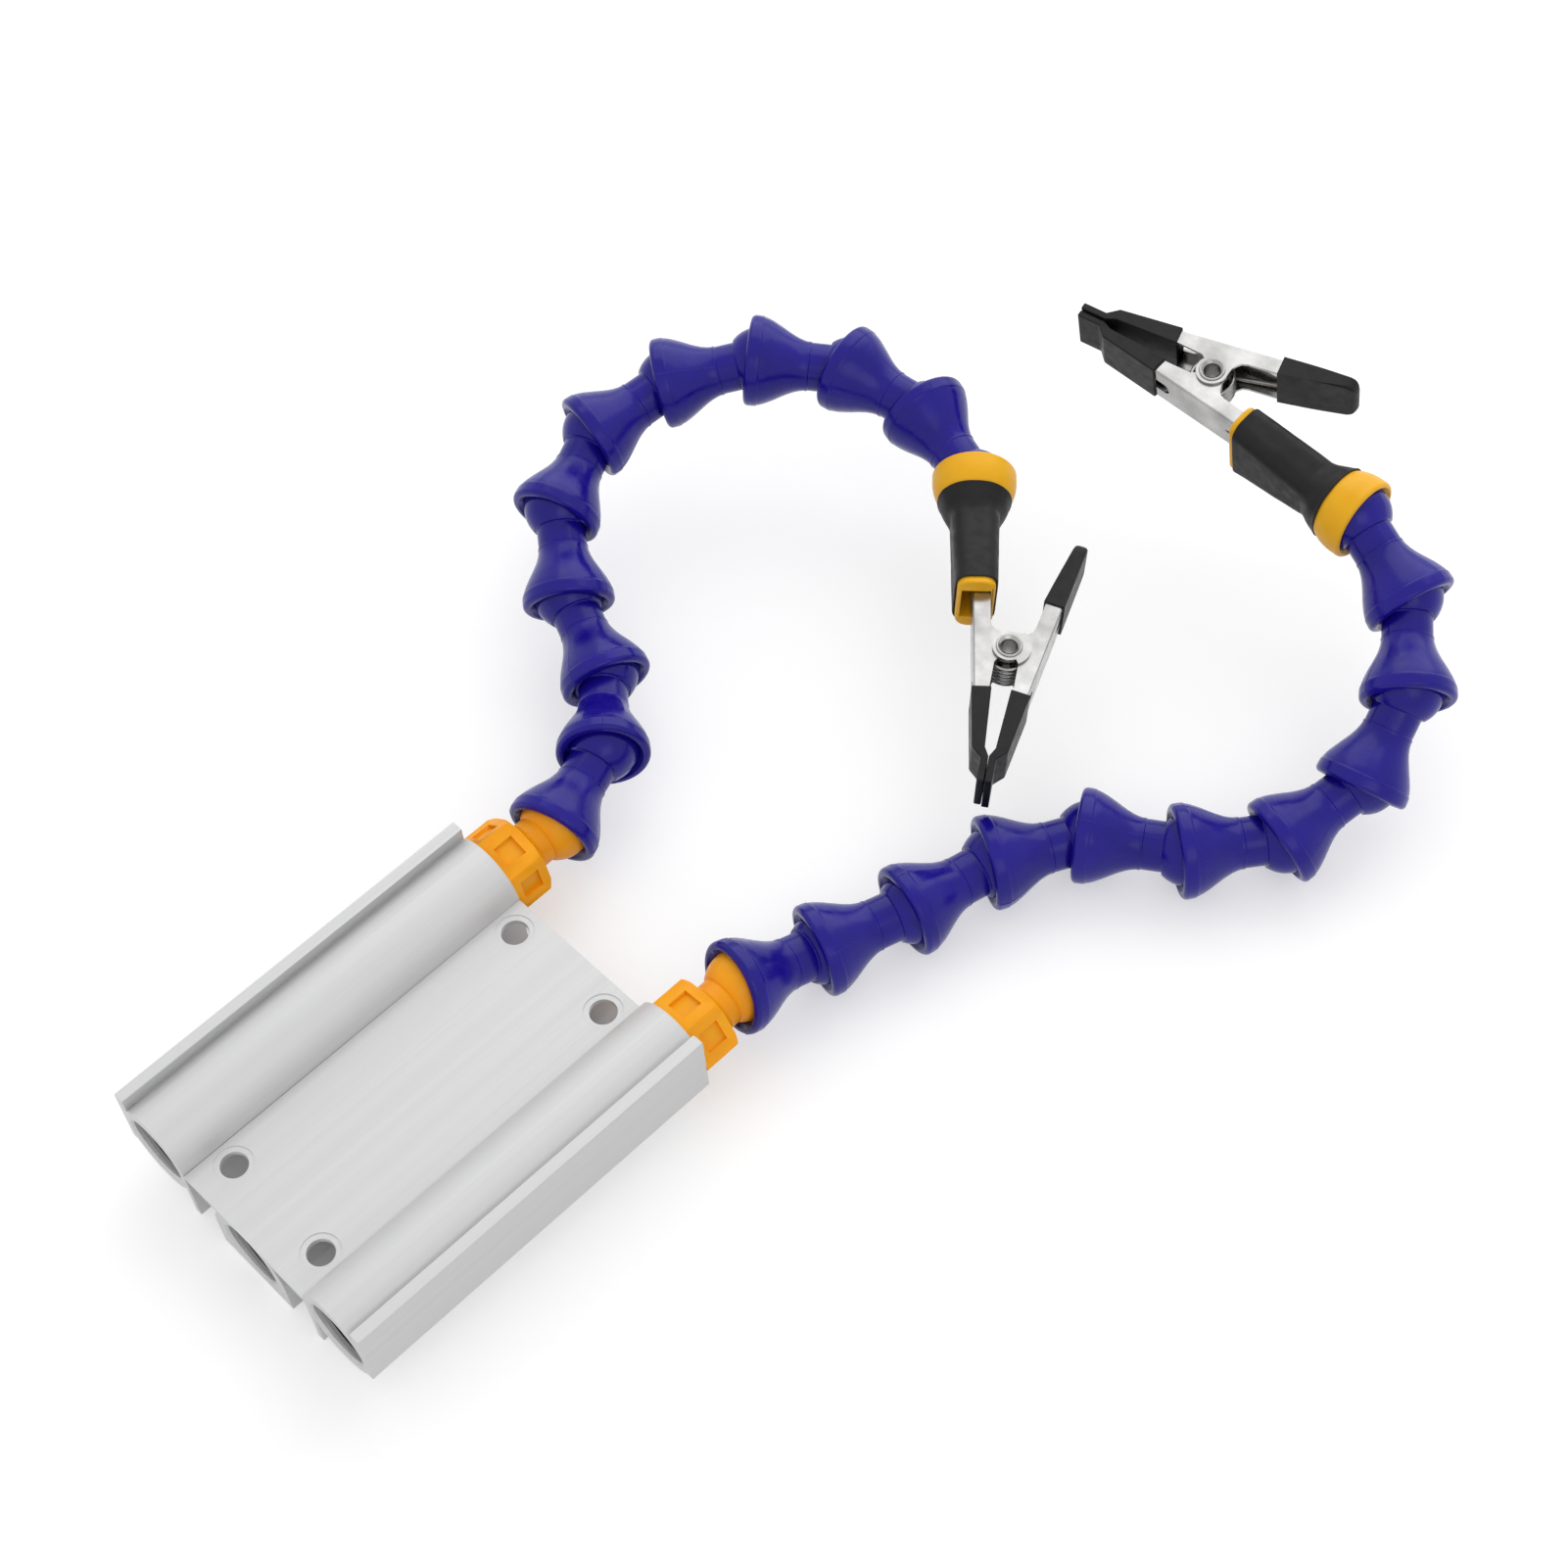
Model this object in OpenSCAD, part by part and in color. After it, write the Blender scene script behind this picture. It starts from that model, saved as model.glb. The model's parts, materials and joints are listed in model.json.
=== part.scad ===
/* [Base extrusion] */
// Width across the two side walls
base_width = 63; // [62:0.5:66]
// Length of the extrusion
base_length = 74; // [70:1:90]
// Height of the side rails
base_height = 21.9; // [21.6:0.1:24]
// Height of the top of the plate between the two outer tubes
plate_top = 14.1; // [13.9:0.1:14.6]
// Thickness of that plate
plate_thickness = 1.1; // [0.9:0.1:1.4]
// Distance of each outer bore from the side of the base
bore_inset = 7.9; // [7.7:0.1:8.1]
// Height of the outer bores
outer_bore_height = 12.5; // [12.3:0.1:12.8]
// Height of the middle bore
middle_bore_height = 7.3; // [7.2:0.1:7.5]
// Wall radius of the three threaded bores
bore_r = 6.15; // [6:0.05:6.2]
// Radius of the four screw holes in the plate
screw_hole_r = 2.4; // [1.6:0.1:2.6]
// Spacing of the screw holes across the plate
screw_spacing_x = 22.6; // [20:0.2:23]
// Spacing of the screw holes along the plate
screw_spacing_y = 61.9; // [50:0.1:62]

/* [Arm links] */
// Distance from ball to ball
pitch = 17.2; // [17:0.1:19]
// Radius of the ball
ball_r = 6.4; // [6.2:0.05:6.6]
// Running gap between ball and socket
socket_gap = 0.05; // [0.03:0.01:0.1]
// Largest radius of a link's bell
bell_r = 8.5; // [8.2:0.1:9]
// Radius of the neck behind the ball
neck_r = 4.55; // [4.2:0.05:4.6]
// Radius of the hole that runs through every link
through_r = 3.2; // [2.5:0.1:3.4]

/* [Connectors] */
// Width across the flats of the hexagon
hex_flats = 14.4; // [13:0.1:16]
// Length of the hexagon
hex_length = 7.5; // [5:0.1:8]
// Distance from the hexagon's seat to the centre of the ball
ball_reach = 15.5; // [15:0.1:18]
// Length of the shank in the bore
shank_length = 9; // [6:0.5:12]

/* [End cups] */
// Outer radius of the cup's rim
cup_r = 7.75; // [7.5:0.05:8.5]
// Length from the ball's centre to the end of the flat nozzle
nozzle_end = 26.5; // [25:0.5:28]
// Height of the nozzle's end, across its narrow way
nozzle_y = 6.8; // [6.8:0.1:7.6]
// Width of the nozzle's end, across its wide way
nozzle_z = 14.4; // [12:0.1:15]
// Wall of the nozzle along its wide sides
nozzle_wall = 0.8; // [0.6:0.1:0.8]
// Wall of the heat-shrink sleeve
sleeve_wall = 0.4; // [0.3:0.05:0.6]

/* [Spring clips] */
// Thickness of the clip's sheet steel
steel = 0.5; // [0.4:0.05:0.6]
// Half of the moving half's width
clip_half_w = 4.4; // [4.2:0.1:4.4]
// Distance from the rivet to the back of each half
back_offset = 6.3; // [6.2:0.1:6.6]
// Angle of each half's back to the middle line of the clip
splay = 9.5; // [8.5:0.5:10.5]
// Distance from the rivet to the tip of the nose
nose_reach = 27.6; // [27:0.1:29]
// Length of each handle behind the rivet
handle_reach = 24; // [22:0.5:25]
// Wall of the vinyl boots
boot_wall = 0.4; // [0.3:0.05:0.5]
// Radius of the hollow rivet
rivet_r = 1.9; // [1.8:0.05:2]
// Thickness of the spring wire
wire = 0.9; // [0.7:0.1:1]
// Mean radius of the spring's coil
coil_r = 3.8; // [3.6:0.1:4]

/* [Hidden] */
$fn = 64;
eps = 0.01;

// Rest pose: heading of each link, turned about the upright axis from +Y
// towards -X, and its rise above the level. The last of each is the end cup.
left_headings = [18, 48, 69, 52, 22, -10, -37, -51, -80, -105, -136];
left_rises = [5, -4, 12, 18, 10, 9, 8, -5, -6, -8, -4];
left_roll = -4;
right_headings = [-11, -18, -13, -29, -56, -37, -13, 13, 42, 75, 91];
right_rises = [-13, 0, 0, 0, 0, 0, 16, 32, 17, 19, 1];
right_roll = 172;

// Base section
rail_width = 2.2;
tube_r = 8;
tube_rise = 0.9;
side_foot = 7.9;
web_wall = 1.3;
boss_r = 9;
mouth_chamfer = 0.43;
spotface_r = 3.5;
spotface_depth = 0.15;
screw_shift_y = 1.15;
half_width = base_width / 2;
half_length = base_length / 2;
bore_spacing = half_width - bore_inset;
tube_inner = bore_spacing - tube_r;
plate_bottom = plate_top - plate_thickness;

// Ball and socket
socket_r = ball_r + socket_gap;
mouth_x = -1.3;
mouth_r = sqrt(socket_r * socket_r - mouth_x * mouth_x);
mouth_lead = 0.9;
rim_face = -2.3;
rim_round = 0.9;
neck_start = 9.6;
ball_front = 4;
bell_steps = 12;

// Connector: where each hexagon's thread has stopped it, the hexagon's bevel,
// its round collar and the recess in each flat
left_hex_turn = 18;
right_hex_turn = -6;
thread_gap = 0.05;
hex_bevel = 0.9;
hex_bevel_inset = 0.3;
collar_inset = 0.8;
collar_taper = 1.2;
recess = 4;
recess_depth = 0.7;

// Cup, nozzle and sleeve
cup_face = -2;
cup_round = 0.5;
dome_half = 8.2;
dome_top = 0;
dome_end = 7.9;
dome_steps = 10;
nozzle_start = 5;
nozzle_start_y = 8.2;
nozzle_start_z = 8.6;
nozzle_seat = 12.5;
cavity_z = 8.2;
cup_bore_r = 2;
nozzle_corner = 2.4;
sleeve_start = 4.9;
sleeve_end = nozzle_end - 1.2;
sleeve_gap = 0.02;

// Clip: X runs along the back of the fixed half, and the rivet is the origin
rivet_x = 37.9;
rivet_y = 5.7;
slip = 0.05;
inner_half_w = clip_half_w - steel - slip;
ear_r = 3;
ear_gap = 0.2;
joggle = 0.8;
handle_wall = 3.1;
handle_tip_wall = 1.7;
handle_top = handle_wall - back_offset;
ear_foot = 2.6;
jaw_wall = 2.75;
jaw_end_wall = 1.5;
jaw_start = 8.3;
jaw_end = 20.6;
nose_start = 23.3;
nose_gap = 0.45;
slot_x = 6.2;
slot_r = 1.2;
arrow_tip = -8.2;
arrow_shoulder = -11;
arrow_end = -13;
arrow_half_w = 1.3;
boot_gap = 0.02;
handle_boot_start = 11.3;
handle_boot_end = handle_reach + 2;
handle_round = 2.4;
rivet_bore = 1.5;
rivet_lip = 2.4;
lip_thickness = 0.25;
coil_turns = 4;
coil_pitch = 1.15;
coil_step = 18;
wire_sides = 8;
leg_x = -11;

// ---------- places along the arms ----------

// Direction of a link from its heading and rise
function way(h, v) = [-sin(h) * cos(v), cos(h) * cos(v), sin(v)];

// Centre of the ball that link number i + 1 grips
function ball_at(start, hs, vs, i) =
    i == 0 ? start : ball_at(start, hs, vs, i - 1) + pitch * way(hs[i - 1], vs[i - 1]);

// Everything that differs between the two arms
function headings(side) = side == "left" ? left_headings : right_headings;
function rises(side) = side == "left" ? left_rises : right_rises;
function roll(side) = side == "left" ? left_roll : right_roll;
function side_sign(side) = side == "left" ? -1 : 1;
function hex_turn(side) = side == "left" ? left_hex_turn : right_hex_turn;
function first_ball(side) =
    [side_sign(side) * bore_spacing, half_length + ball_reach, outer_bore_height];

// Puts a piece whose X axis runs along the arm at link number i + 1
module on_arm(side, i, twist = 0) {
    translate(ball_at(first_ball(side), headings(side), rises(side), i))
        rotate([0, 0, headings(side)[i] + 90])
            rotate([0, -rises(side)[i], 0])
                rotate([twist, 0, 0])
                    children();
}

module on_cup(side) {
    on_arm(side, len(headings(side)) - 1, roll(side)) children();
}

module on_clip(side) {
    on_cup(side) translate([rivet_x, rivet_y, 0]) children();
}

// The moving half is the mirror of the fixed one across the clip's middle line
module moving_side() {
    rotate([0, 0, -splay]) rotate([180, 0, 0]) rotate([0, 0, splay]) children();
}

// Turns an outline of [radius, x] points about the X axis
module revolve(points) {
    rotate([0, 90, 0]) rotate_extrude() polygon(points);
}

// A bar of revolution along X
module rod(r, x0, x1) {
    translate([x0, 0, 0]) rotate([0, 90, 0]) cylinder(r = r, h = x1 - x0);
}

// ---------- base ----------

// One outer tube with its side wall and rail, as seen from the end
module outer_tube_section() {
    intersection() {
        union() {
            for (rise = [0, tube_rise])
                translate([bore_spacing, outer_bore_height + rise]) circle(tube_r);
            translate([bore_spacing - tube_r, outer_bore_height]) square([2 * tube_r, tube_rise]);
            translate([half_width - rail_width, side_foot])
                square([rail_width, base_height - side_foot]);
            translate([tube_inner, 0]) square([web_wall, outer_bore_height]);
        }
        translate([tube_inner, 0]) square([half_width - tube_inner, base_height]);
    }
}

module base_section() {
    outer_tube_section();
    mirror([1, 0]) outer_tube_section();
    translate([-tube_inner, plate_bottom]) square([2 * tube_inner, plate_thickness]);
    intersection() {
        union() {
            translate([0, middle_bore_height]) circle(boss_r);
            translate([-boss_r, 0]) square([2 * boss_r, middle_bore_height]);
        }
        translate([-boss_r, 0]) square([2 * boss_r, plate_top]);
    }
}

// A bore through the extrusion with a chamfer at both mouths
module threaded_bore(x, z) {
    translate([x, 0, z]) rotate([-90, 0, 0]) {
        cylinder(r = bore_r, h = base_length + 2, center = true);
        for (end = [0, 1])
            mirror([0, 0, end]) translate([0, 0, half_length - mouth_chamfer])
                cylinder(r1 = bore_r, r2 = bore_r + mouth_chamfer + eps, h = mouth_chamfer + eps);
    }
}

module screw_hole(x, y) {
    translate([x, y, plate_bottom - 1]) cylinder(r = screw_hole_r, h = plate_thickness + 2);
    translate([x, y, plate_top - spotface_depth]) cylinder(r = spotface_r, h = 1);
}

module base_extrusion() {
    color("gainsboro") difference() {
        rotate([90, 0, 0]) linear_extrude(base_length, center = true) base_section();
        for (x = [-bore_spacing, bore_spacing]) threaded_bore(x, outer_bore_height);
        threaded_bore(0, middle_bore_height);
        for (x = [-0.5, 0.5], y = [-0.5, 0.5])
            screw_hole(x * screw_spacing_x, screw_shift_y + y * screw_spacing_y);
    }
}

// ---------- ball joints ----------

// Ball centred at x and cut flat in front
module ball(x) {
    intersection() {
        translate([x, 0, 0]) rotate([0, 90, 0]) sphere(ball_r);
        rod(bell_r, x - bell_r, x + ball_front);
    }
}

// Socket with a mouth that widens outwards from the sphere to the face at x
module socket_cut(x) {
    face_r = mouth_r + mouth_lead * (mouth_x - x);
    rotate([0, 90, 0]) sphere(socket_r);
    revolve([[0, x - 1], [face_r + mouth_lead, x - 1],
             [mouth_r - mouth_lead, mouth_x + 1], [0, mouth_x + 1]]);
}

// Connector: its ball is at the origin and its hexagon stands on the base
module connector(side) {
    seat = -ball_reach;
    hex_end = seat + hex_length;
    hex_r = hex_flats / 2 / cos(30);
    face_r = hex_flats / 2 - hex_bevel_inset;
    slope = (hex_r - face_r) / hex_bevel;
    collar_r = hex_flats / 2 - collar_inset;
    translate(first_ball(side)) rotate([0, 0, 90]) color("orange") difference() {
        union() {
            rod(bore_r - thread_gap, seat - shank_length, seat);
            intersection() {
                translate([seat, 0, 0]) rotate([hex_turn(side), 0, 0]) rotate([0, 90, 0])
                    rotate([0, 0, 90]) cylinder(r = hex_r, h = hex_length, $fn = 6);
                revolve([[0, seat - 1], [hex_r + 1, seat - 1],
                         [hex_r + 1, hex_end - (hex_r + 1 - face_r) / slope],
                         [face_r - slope, hex_end + 1], [0, hex_end + 1]]);
            }
            revolve([[0, seat + 1], [collar_r, seat + 1], [collar_r, hex_end + 0.1],
                     [neck_r, hex_end + collar_taper], [neck_r, 0], [0, 0]]);
            ball(0);
        }
        rod(through_r, seat - shank_length - 1, ball_r);
        for (turn = [0:60:300])
            rotate([hex_turn(side) + turn, 0, 0])
                translate([seat + (hex_length - recess) / 2, -recess / 2, hex_flats / 2 - recess_depth])
                    cube([recess, recess, recess]);
    }
}

// Radius of the bell at x, falling from the rim to the neck along a cosine
function bell(x) =
    let (t = (x - rim_face - rim_round) / (neck_start - rim_face - rim_round))
    neck_r + (bell_r - neck_r) * (0.5 + 0.5 * cos(180 * t));

// Outline of a link without its ball: round rim, bell and neck
function link_outline() = concat(
    [[0, rim_face]],
    [for (a = [-90:15:0]) [bell_r - rim_round + rim_round * cos(a),
                           rim_face + rim_round + rim_round * sin(a)]],
    [for (i = [1:bell_steps])
        let (x = rim_face + rim_round + i * (neck_start - rim_face - rim_round) / bell_steps)
        [bell(x), x]],
    [[neck_r, pitch], [0, pitch]]);

module link(side, number) {
    on_arm(side, number - 1) color("mediumblue") difference() {
        union() {
            revolve(link_outline());
            ball(pitch);
        }
        socket_cut(rim_face);
        rod(through_r, 0, pitch + ball_r);
    }
}

// ---------- end cups ----------

// Radius of the cup's dome at x
function dome(x) = cup_r * sqrt(1 - pow((x - dome_top) / dome_half, 2));

// Points of the dome from x0 on, grown outwards by g
function dome_points(x0, g) = concat(
    [for (i = [0:dome_steps]) let (x = x0 + i * (dome_end - x0) / dome_steps) [dome(x) + g, x]],
    [[0, dome_end]]);

// Outline of a cup: round rim, then the dome
function cup_outline() = concat(
    [[0, cup_face]],
    [for (a = [-90:30:0]) [cup_r - cup_round + cup_round * cos(a),
                           cup_face + cup_round + cup_round * sin(a)]],
    dome_points(dome_top, 0));

// Bar along X with a section of y by z and round corners
module round_cornered_bar(y, z, r, x0, x1) {
    translate([x0, 0, 0]) rotate([0, 90, 0]) linear_extrude(x1 - x0) {
        for (side_z = [-1, 1], side_y = [-1, 1])
            translate([side_z * (z / 2 - r), side_y * (y / 2 - r)]) circle(r);
        square([z - 2 * r, y], center = true);
        square([z, y - 2 * r], center = true);
    }
}

// A symmetric wedge seen in the XY plane: a high at x0 and b high at x1
module taper(a, b, x0, x1) {
    linear_extrude(2 * nozzle_z, center = true)
        polygon([[x0, -a / 2], [x1, -b / 2], [x1, b / 2], [x0, a / 2]]);
}

// The nozzle between x0 and x1, grown outwards by g. It gets lower and wider
// towards its end
module nozzle_fan(g, x0, x1) {
    share = [x0 - nozzle_start, x1 - nozzle_start] / (nozzle_end - nozzle_start);
    high = [for (t = share) nozzle_start_y + t * (nozzle_y - nozzle_start_y) + 2 * g];
    wide = [for (t = share) nozzle_start_z + t * (nozzle_z - nozzle_start_z) + 2 * g];
    intersection() {
        taper(high[0], high[1], x0, x1);
        rotate([90, 0, 0]) taper(wide[0], wide[1], x0, x1);
        round_cornered_bar(nozzle_start_y + 2 * g, nozzle_z + 2 * g, nozzle_corner + g, x0, x1);
    }
}

module end_cup(side) {
    on_cup(side) color("goldenrod") difference() {
        union() {
            revolve(cup_outline());
            nozzle_fan(0, nozzle_start, nozzle_end);
        }
        socket_cut(cup_face);
        rod(cup_bore_r, 0, nozzle_seat + 1);
        translate([nozzle_seat, nozzle_wall - nozzle_y / 2, -cavity_z / 2])
            cube([nozzle_end, nozzle_y - 2 * nozzle_wall, cavity_z]);
    }
}

module heat_shrink_sleeve(side) {
    on_cup(side) color([0.12, 0.12, 0.12]) difference() {
        union() {
            revolve(concat([[0, sleeve_start]], dome_points(sleeve_start, sleeve_wall + sleeve_gap)));
            nozzle_fan(sleeve_wall + sleeve_gap, nozzle_start, sleeve_end);
        }
        revolve(concat([[0, dome_top]], dome_points(dome_top, sleeve_gap)));
        nozzle_fan(sleeve_gap, sleeve_start, nozzle_end);
    }
}

// ---------- spring clips ----------

// Turns a point given along and across the clip's middle line into the
// frame of the fixed half
function from_middle(x, y) = [x * cos(splay) + y * sin(splay), -x * sin(splay) + y * cos(splay)];

// Back line of the jaw and its bend into the nose, moved outwards by g
function jaw_back(g) = [
    [jaw_end, -back_offset - g],
    from_middle(nose_start, -nose_gap - steel - g),
    from_middle(nose_reach + g, -nose_gap - steel - g)
];

// Side view of the two walls of a half
module wall_outline() {
    difference() {
        union() {
            polygon([
                [-handle_reach, -back_offset], [jaw_end, -back_offset],
                [jaw_end + 0.6, -back_offset + steel + 0.5],
                [jaw_end, -back_offset + jaw_end_wall], [jaw_start, -back_offset + jaw_wall],
                [ear_r, -back_offset + jaw_wall + 0.9], [0, 0], [-ear_r, 0],
                [-ear_r - 0.1 * ear_foot, 0.4 * handle_top], [-ear_r - 0.3 * ear_foot, 0.7 * handle_top],
                [-ear_r - 0.6 * ear_foot, 0.93 * handle_top], [-ear_r - ear_foot, handle_top],
                [-handle_boot_start, handle_top],
                [-handle_reach, handle_tip_wall - back_offset]
            ]);
            circle(ear_r);
        }
        circle(rivet_r + slip);
    }
}

// The slot punched through the back in front of the boot, and the pointed
// one in front of the handle
module back_slots() {
    rotate([90, 0, 0]) linear_extrude(3 * back_offset, center = true) {
        translate([slot_x, 0]) circle(slot_r);
        translate([slot_x, -slot_r]) square([jaw_start - slot_x + boot_wall, 2 * slot_r]);
        polygon([[arrow_tip, 0], [arrow_shoulder, arrow_half_w], [arrow_end, arrow_half_w],
                 [arrow_end, -arrow_half_w], [arrow_shoulder, -arrow_half_w]]);
    }
}

// Back plate and bent nose between two widths
module back_and_nose(z0, z1) {
    difference() {
        translate([0, 0, z0]) linear_extrude(z1 - z0) {
            translate([-handle_reach, -back_offset]) square([handle_reach + jaw_end, steel]);
            polygon(concat(jaw_back(0), [
                from_middle(nose_reach, -nose_gap), from_middle(nose_start + 0.15, -nose_gap),
                [jaw_end - 0.1, -back_offset + steel]
            ]));
        }
        back_slots();
    }
}

module wall_plate(z) {
    translate([0, 0, z]) linear_extrude(steel) wall_outline();
}

module clip_fixed_half(side) {
    on_clip(side) color("silver") {
        back_and_nose(-inner_half_w, inner_half_w);
        for (z = [-inner_half_w, inner_half_w - steel]) wall_plate(z);
    }
}

// A wall of the moving half cut clear of the fixed half's ear, and the ear
// that steps out over it
module stepped_wall() {
    reach = ear_r + ear_gap;
    step_out = clip_half_w - inner_half_w;
    translate([0, 0, inner_half_w - steel]) linear_extrude(steel) difference() {
        wall_outline();
        circle(reach);
    }
    translate([0, 0, inner_half_w - steel]) linear_extrude(clip_half_w - inner_half_w + steel)
        intersection() {
            wall_outline();
            difference() {
                circle(reach + joggle);
                circle(reach);
            }
        }
    translate([0, 0, clip_half_w - steel]) linear_extrude(steel) intersection() {
        wall_outline();
        circle(reach + step_out);
    }
}

module clip_moving_half(side) {
    on_clip(side) moving_side() color("silver") mirror([0, 0, 1]) {
        back_and_nose(-clip_half_w, inner_half_w);
        wall_plate(-clip_half_w);
        stepped_wall();
    }
}

// Hollow rivet with a rolled lip at each end
module clip_rivet(side) {
    lip_z = clip_half_w + slip;
    on_clip(side) color("silver") difference() {
        union() {
            cylinder(r = rivet_r, h = 2 * lip_z, center = true);
            for (end = [0, 1])
                mirror([0, 0, end]) translate([0, 0, lip_z]) cylinder(r = rivet_lip, h = lip_thickness);
        }
        cylinder(r = rivet_bore, h = 3 * lip_z, center = true);
    }
}

// Each leg's end lies inside the back of a handle. leg_turn is the angle of
// the tangent point, where the leg leaves the coil, to the middle line
leg_y = back_offset - steel - wire / 2 - 0.1;
leg_end = [leg_x * cos(splay) + leg_y * sin(splay), leg_x * sin(splay) - leg_y * cos(splay)];
leg_turn = atan2(leg_end.y, leg_end.x) + acos(coil_r / norm(leg_end));
coil_span = 360 * coil_turns - 2 * leg_turn;
coil_height = coil_pitch * coil_span / 360;

// Centre line of the spring: one leg, the coil and the other leg
function spring_line() = concat(
    [[leg_end.x, leg_end.y, -coil_height / 2]],
    [for (s = [0:coil_step:coil_span])
        [coil_r * cos(leg_turn + s), coil_r * sin(leg_turn + s), coil_pitch * s / 360 - coil_height / 2]],
    [[coil_r * cos(leg_turn), -coil_r * sin(leg_turn), coil_height / 2],
     [leg_end.x, -leg_end.y, coil_height / 2]]);

// Ring of points about p, square to the direction d
function ring_about(p, d) =
    let (u = cross(d, [0, 0, 1]) / norm(cross(d, [0, 0, 1])), w = cross(u, d) / norm(d))
    [for (k = [0:wire_sides - 1])
        let (turn = 360 * k / wire_sides) p + wire / 2 * (u * cos(turn) + w * sin(turn))];

module sweep(line) {
    n = len(line);
    rings = [for (i = [0:n - 1]) each ring_about(line[i], line[min(i + 1, n - 1)] - line[max(i - 1, 0)])];
    sides = [for (i = [0:n - 2], k = [0:wire_sides - 1])
        let (a = i * wire_sides, b = (k + 1) % wire_sides)
        [a + k, a + b, a + wire_sides + b, a + wire_sides + k]];
    first_cap = [for (k = [0:wire_sides - 1]) wire_sides - 1 - k];
    last_cap = [for (k = [0:wire_sides - 1]) (n - 1) * wire_sides + k];
    polyhedron(rings, concat(sides, [first_cap, last_cap]));
}

module clip_spring(side) {
    on_clip(side) rotate([0, 0, -splay]) color("dimgray") sweep(spring_line());
}

// Side view of a jaw boot, grown outwards by g from the steel
module jaw_boot_outline(x0, g) {
    polygon(concat([[x0, -back_offset - g]], jaw_back(g), [
        from_middle(nose_reach + g, -nose_gap + g), from_middle(nose_start - 0.5, -nose_gap + g),
        [jaw_end, -back_offset + jaw_end_wall + g],
        [x0, -back_offset + jaw_wall + (jaw_start - x0) * 0.1 + g]
    ]));
}

// Boot pulled over the jaw between two widths of steel
module jaw_boot(z0, z1) {
    color([0.15, 0.15, 0.15]) difference() {
        translate([0, 0, z0 - boot_wall]) linear_extrude(z1 - z0 + 2 * boot_wall)
            jaw_boot_outline(jaw_start, boot_wall);
        translate([0, 0, z0 - boot_gap]) linear_extrude(z1 - z0 + 2 * boot_gap)
            jaw_boot_outline(jaw_start - 1, boot_gap);
    }
}

module jaw_boot_fixed(side) {
    on_clip(side) jaw_boot(-inner_half_w, inner_half_w);
}

module jaw_boot_moving(side) {
    on_clip(side) moving_side() mirror([0, 0, 1]) jaw_boot(-clip_half_w, inner_half_w);
}

// Side view of the handle's boot, grown outwards by g from the steel
module handle_boot_outline(x0, x1, g) {
    tip_r = (handle_tip_wall + 2 * g) / 2;
    polygon([[-x0, -back_offset - g], [-x0, handle_top + g], [-handle_boot_start, handle_top + g],
             [tip_r - x1, handle_tip_wall - back_offset + g], [tip_r - x1, -back_offset - g]]);
    translate([tip_r - x1, handle_tip_wall / 2 - back_offset]) circle(tip_r);
}

// Back view of the same boot, with round corners at its closed end
module handle_boot_back(x0, x1, z0, z1) {
    translate([handle_round - x1, z0]) square([x1 - x0 - handle_round, z1 - z0]);
    translate([-x1, z0 + handle_round]) square([handle_round, z1 - z0 - 2 * handle_round]);
    for (z = [z0 + handle_round, z1 - handle_round])
        translate([handle_round - x1, z]) circle(handle_round);
}

module handle_boot(side) {
    depth = 3 * back_offset;
    low = -clip_half_w - boot_gap;
    on_clip(side) moving_side() mirror([0, 0, 1]) color([0.15, 0.15, 0.15]) difference() {
        intersection() {
            translate([0, 0, -depth / 2]) linear_extrude(depth)
                handle_boot_outline(handle_boot_start, handle_boot_end, boot_wall);
            rotate([90, 0, 0]) linear_extrude(depth, center = true)
                handle_boot_back(handle_boot_start, handle_boot_end,
                                 -clip_half_w - boot_wall, inner_half_w + boot_wall);
        }
        translate([0, 0, low]) linear_extrude(inner_half_w + boot_gap - low) intersection() {
            handle_boot_outline(handle_boot_start - 1, handle_boot_end, boot_gap);
            translate([-handle_reach - boot_gap, -back_offset - 1])
                square([handle_reach, handle_wall + 2]);
        }
    }
}

base_extrusion();
connector("left");  // connector_left
connector("right");  // connector_right
link("left", 1);  // link_left_01
link("left", 2);  // link_left_02
link("left", 3);  // link_left_03
link("left", 4);  // link_left_04
link("left", 5);  // link_left_05
link("left", 6);  // link_left_06
link("left", 7);  // link_left_07
link("left", 8);  // link_left_08
link("left", 9);  // link_left_09
link("left", 10);  // link_left_10
link("right", 1);  // link_right_01
link("right", 2);  // link_right_02
link("right", 3);  // link_right_03
link("right", 4);  // link_right_04
link("right", 5);  // link_right_05
link("right", 6);  // link_right_06
link("right", 7);  // link_right_07
link("right", 8);  // link_right_08
link("right", 9);  // link_right_09
link("right", 10);  // link_right_10
end_cup("left");  // end_cup_left
end_cup("right");  // end_cup_right
heat_shrink_sleeve("left");  // heat_shrink_sleeve_left
heat_shrink_sleeve("right");  // heat_shrink_sleeve_right
clip_fixed_half("left");  // clip_fixed_half_left
clip_fixed_half("right");  // clip_fixed_half_right
clip_moving_half("left");  // clip_moving_half_left
clip_moving_half("right");  // clip_moving_half_right
clip_rivet("left");  // clip_rivet_left
clip_rivet("right");  // clip_rivet_right
clip_spring("left");  // clip_spring_left
clip_spring("right");  // clip_spring_right
jaw_boot_fixed("left");  // jaw_boot_fixed_left
jaw_boot_fixed("right");  // jaw_boot_fixed_right
jaw_boot_moving("left");  // jaw_boot_moving_left
jaw_boot_moving("right");  // jaw_boot_moving_right
handle_boot("left");  // handle_boot_left
handle_boot("right");  // handle_boot_right
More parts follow.
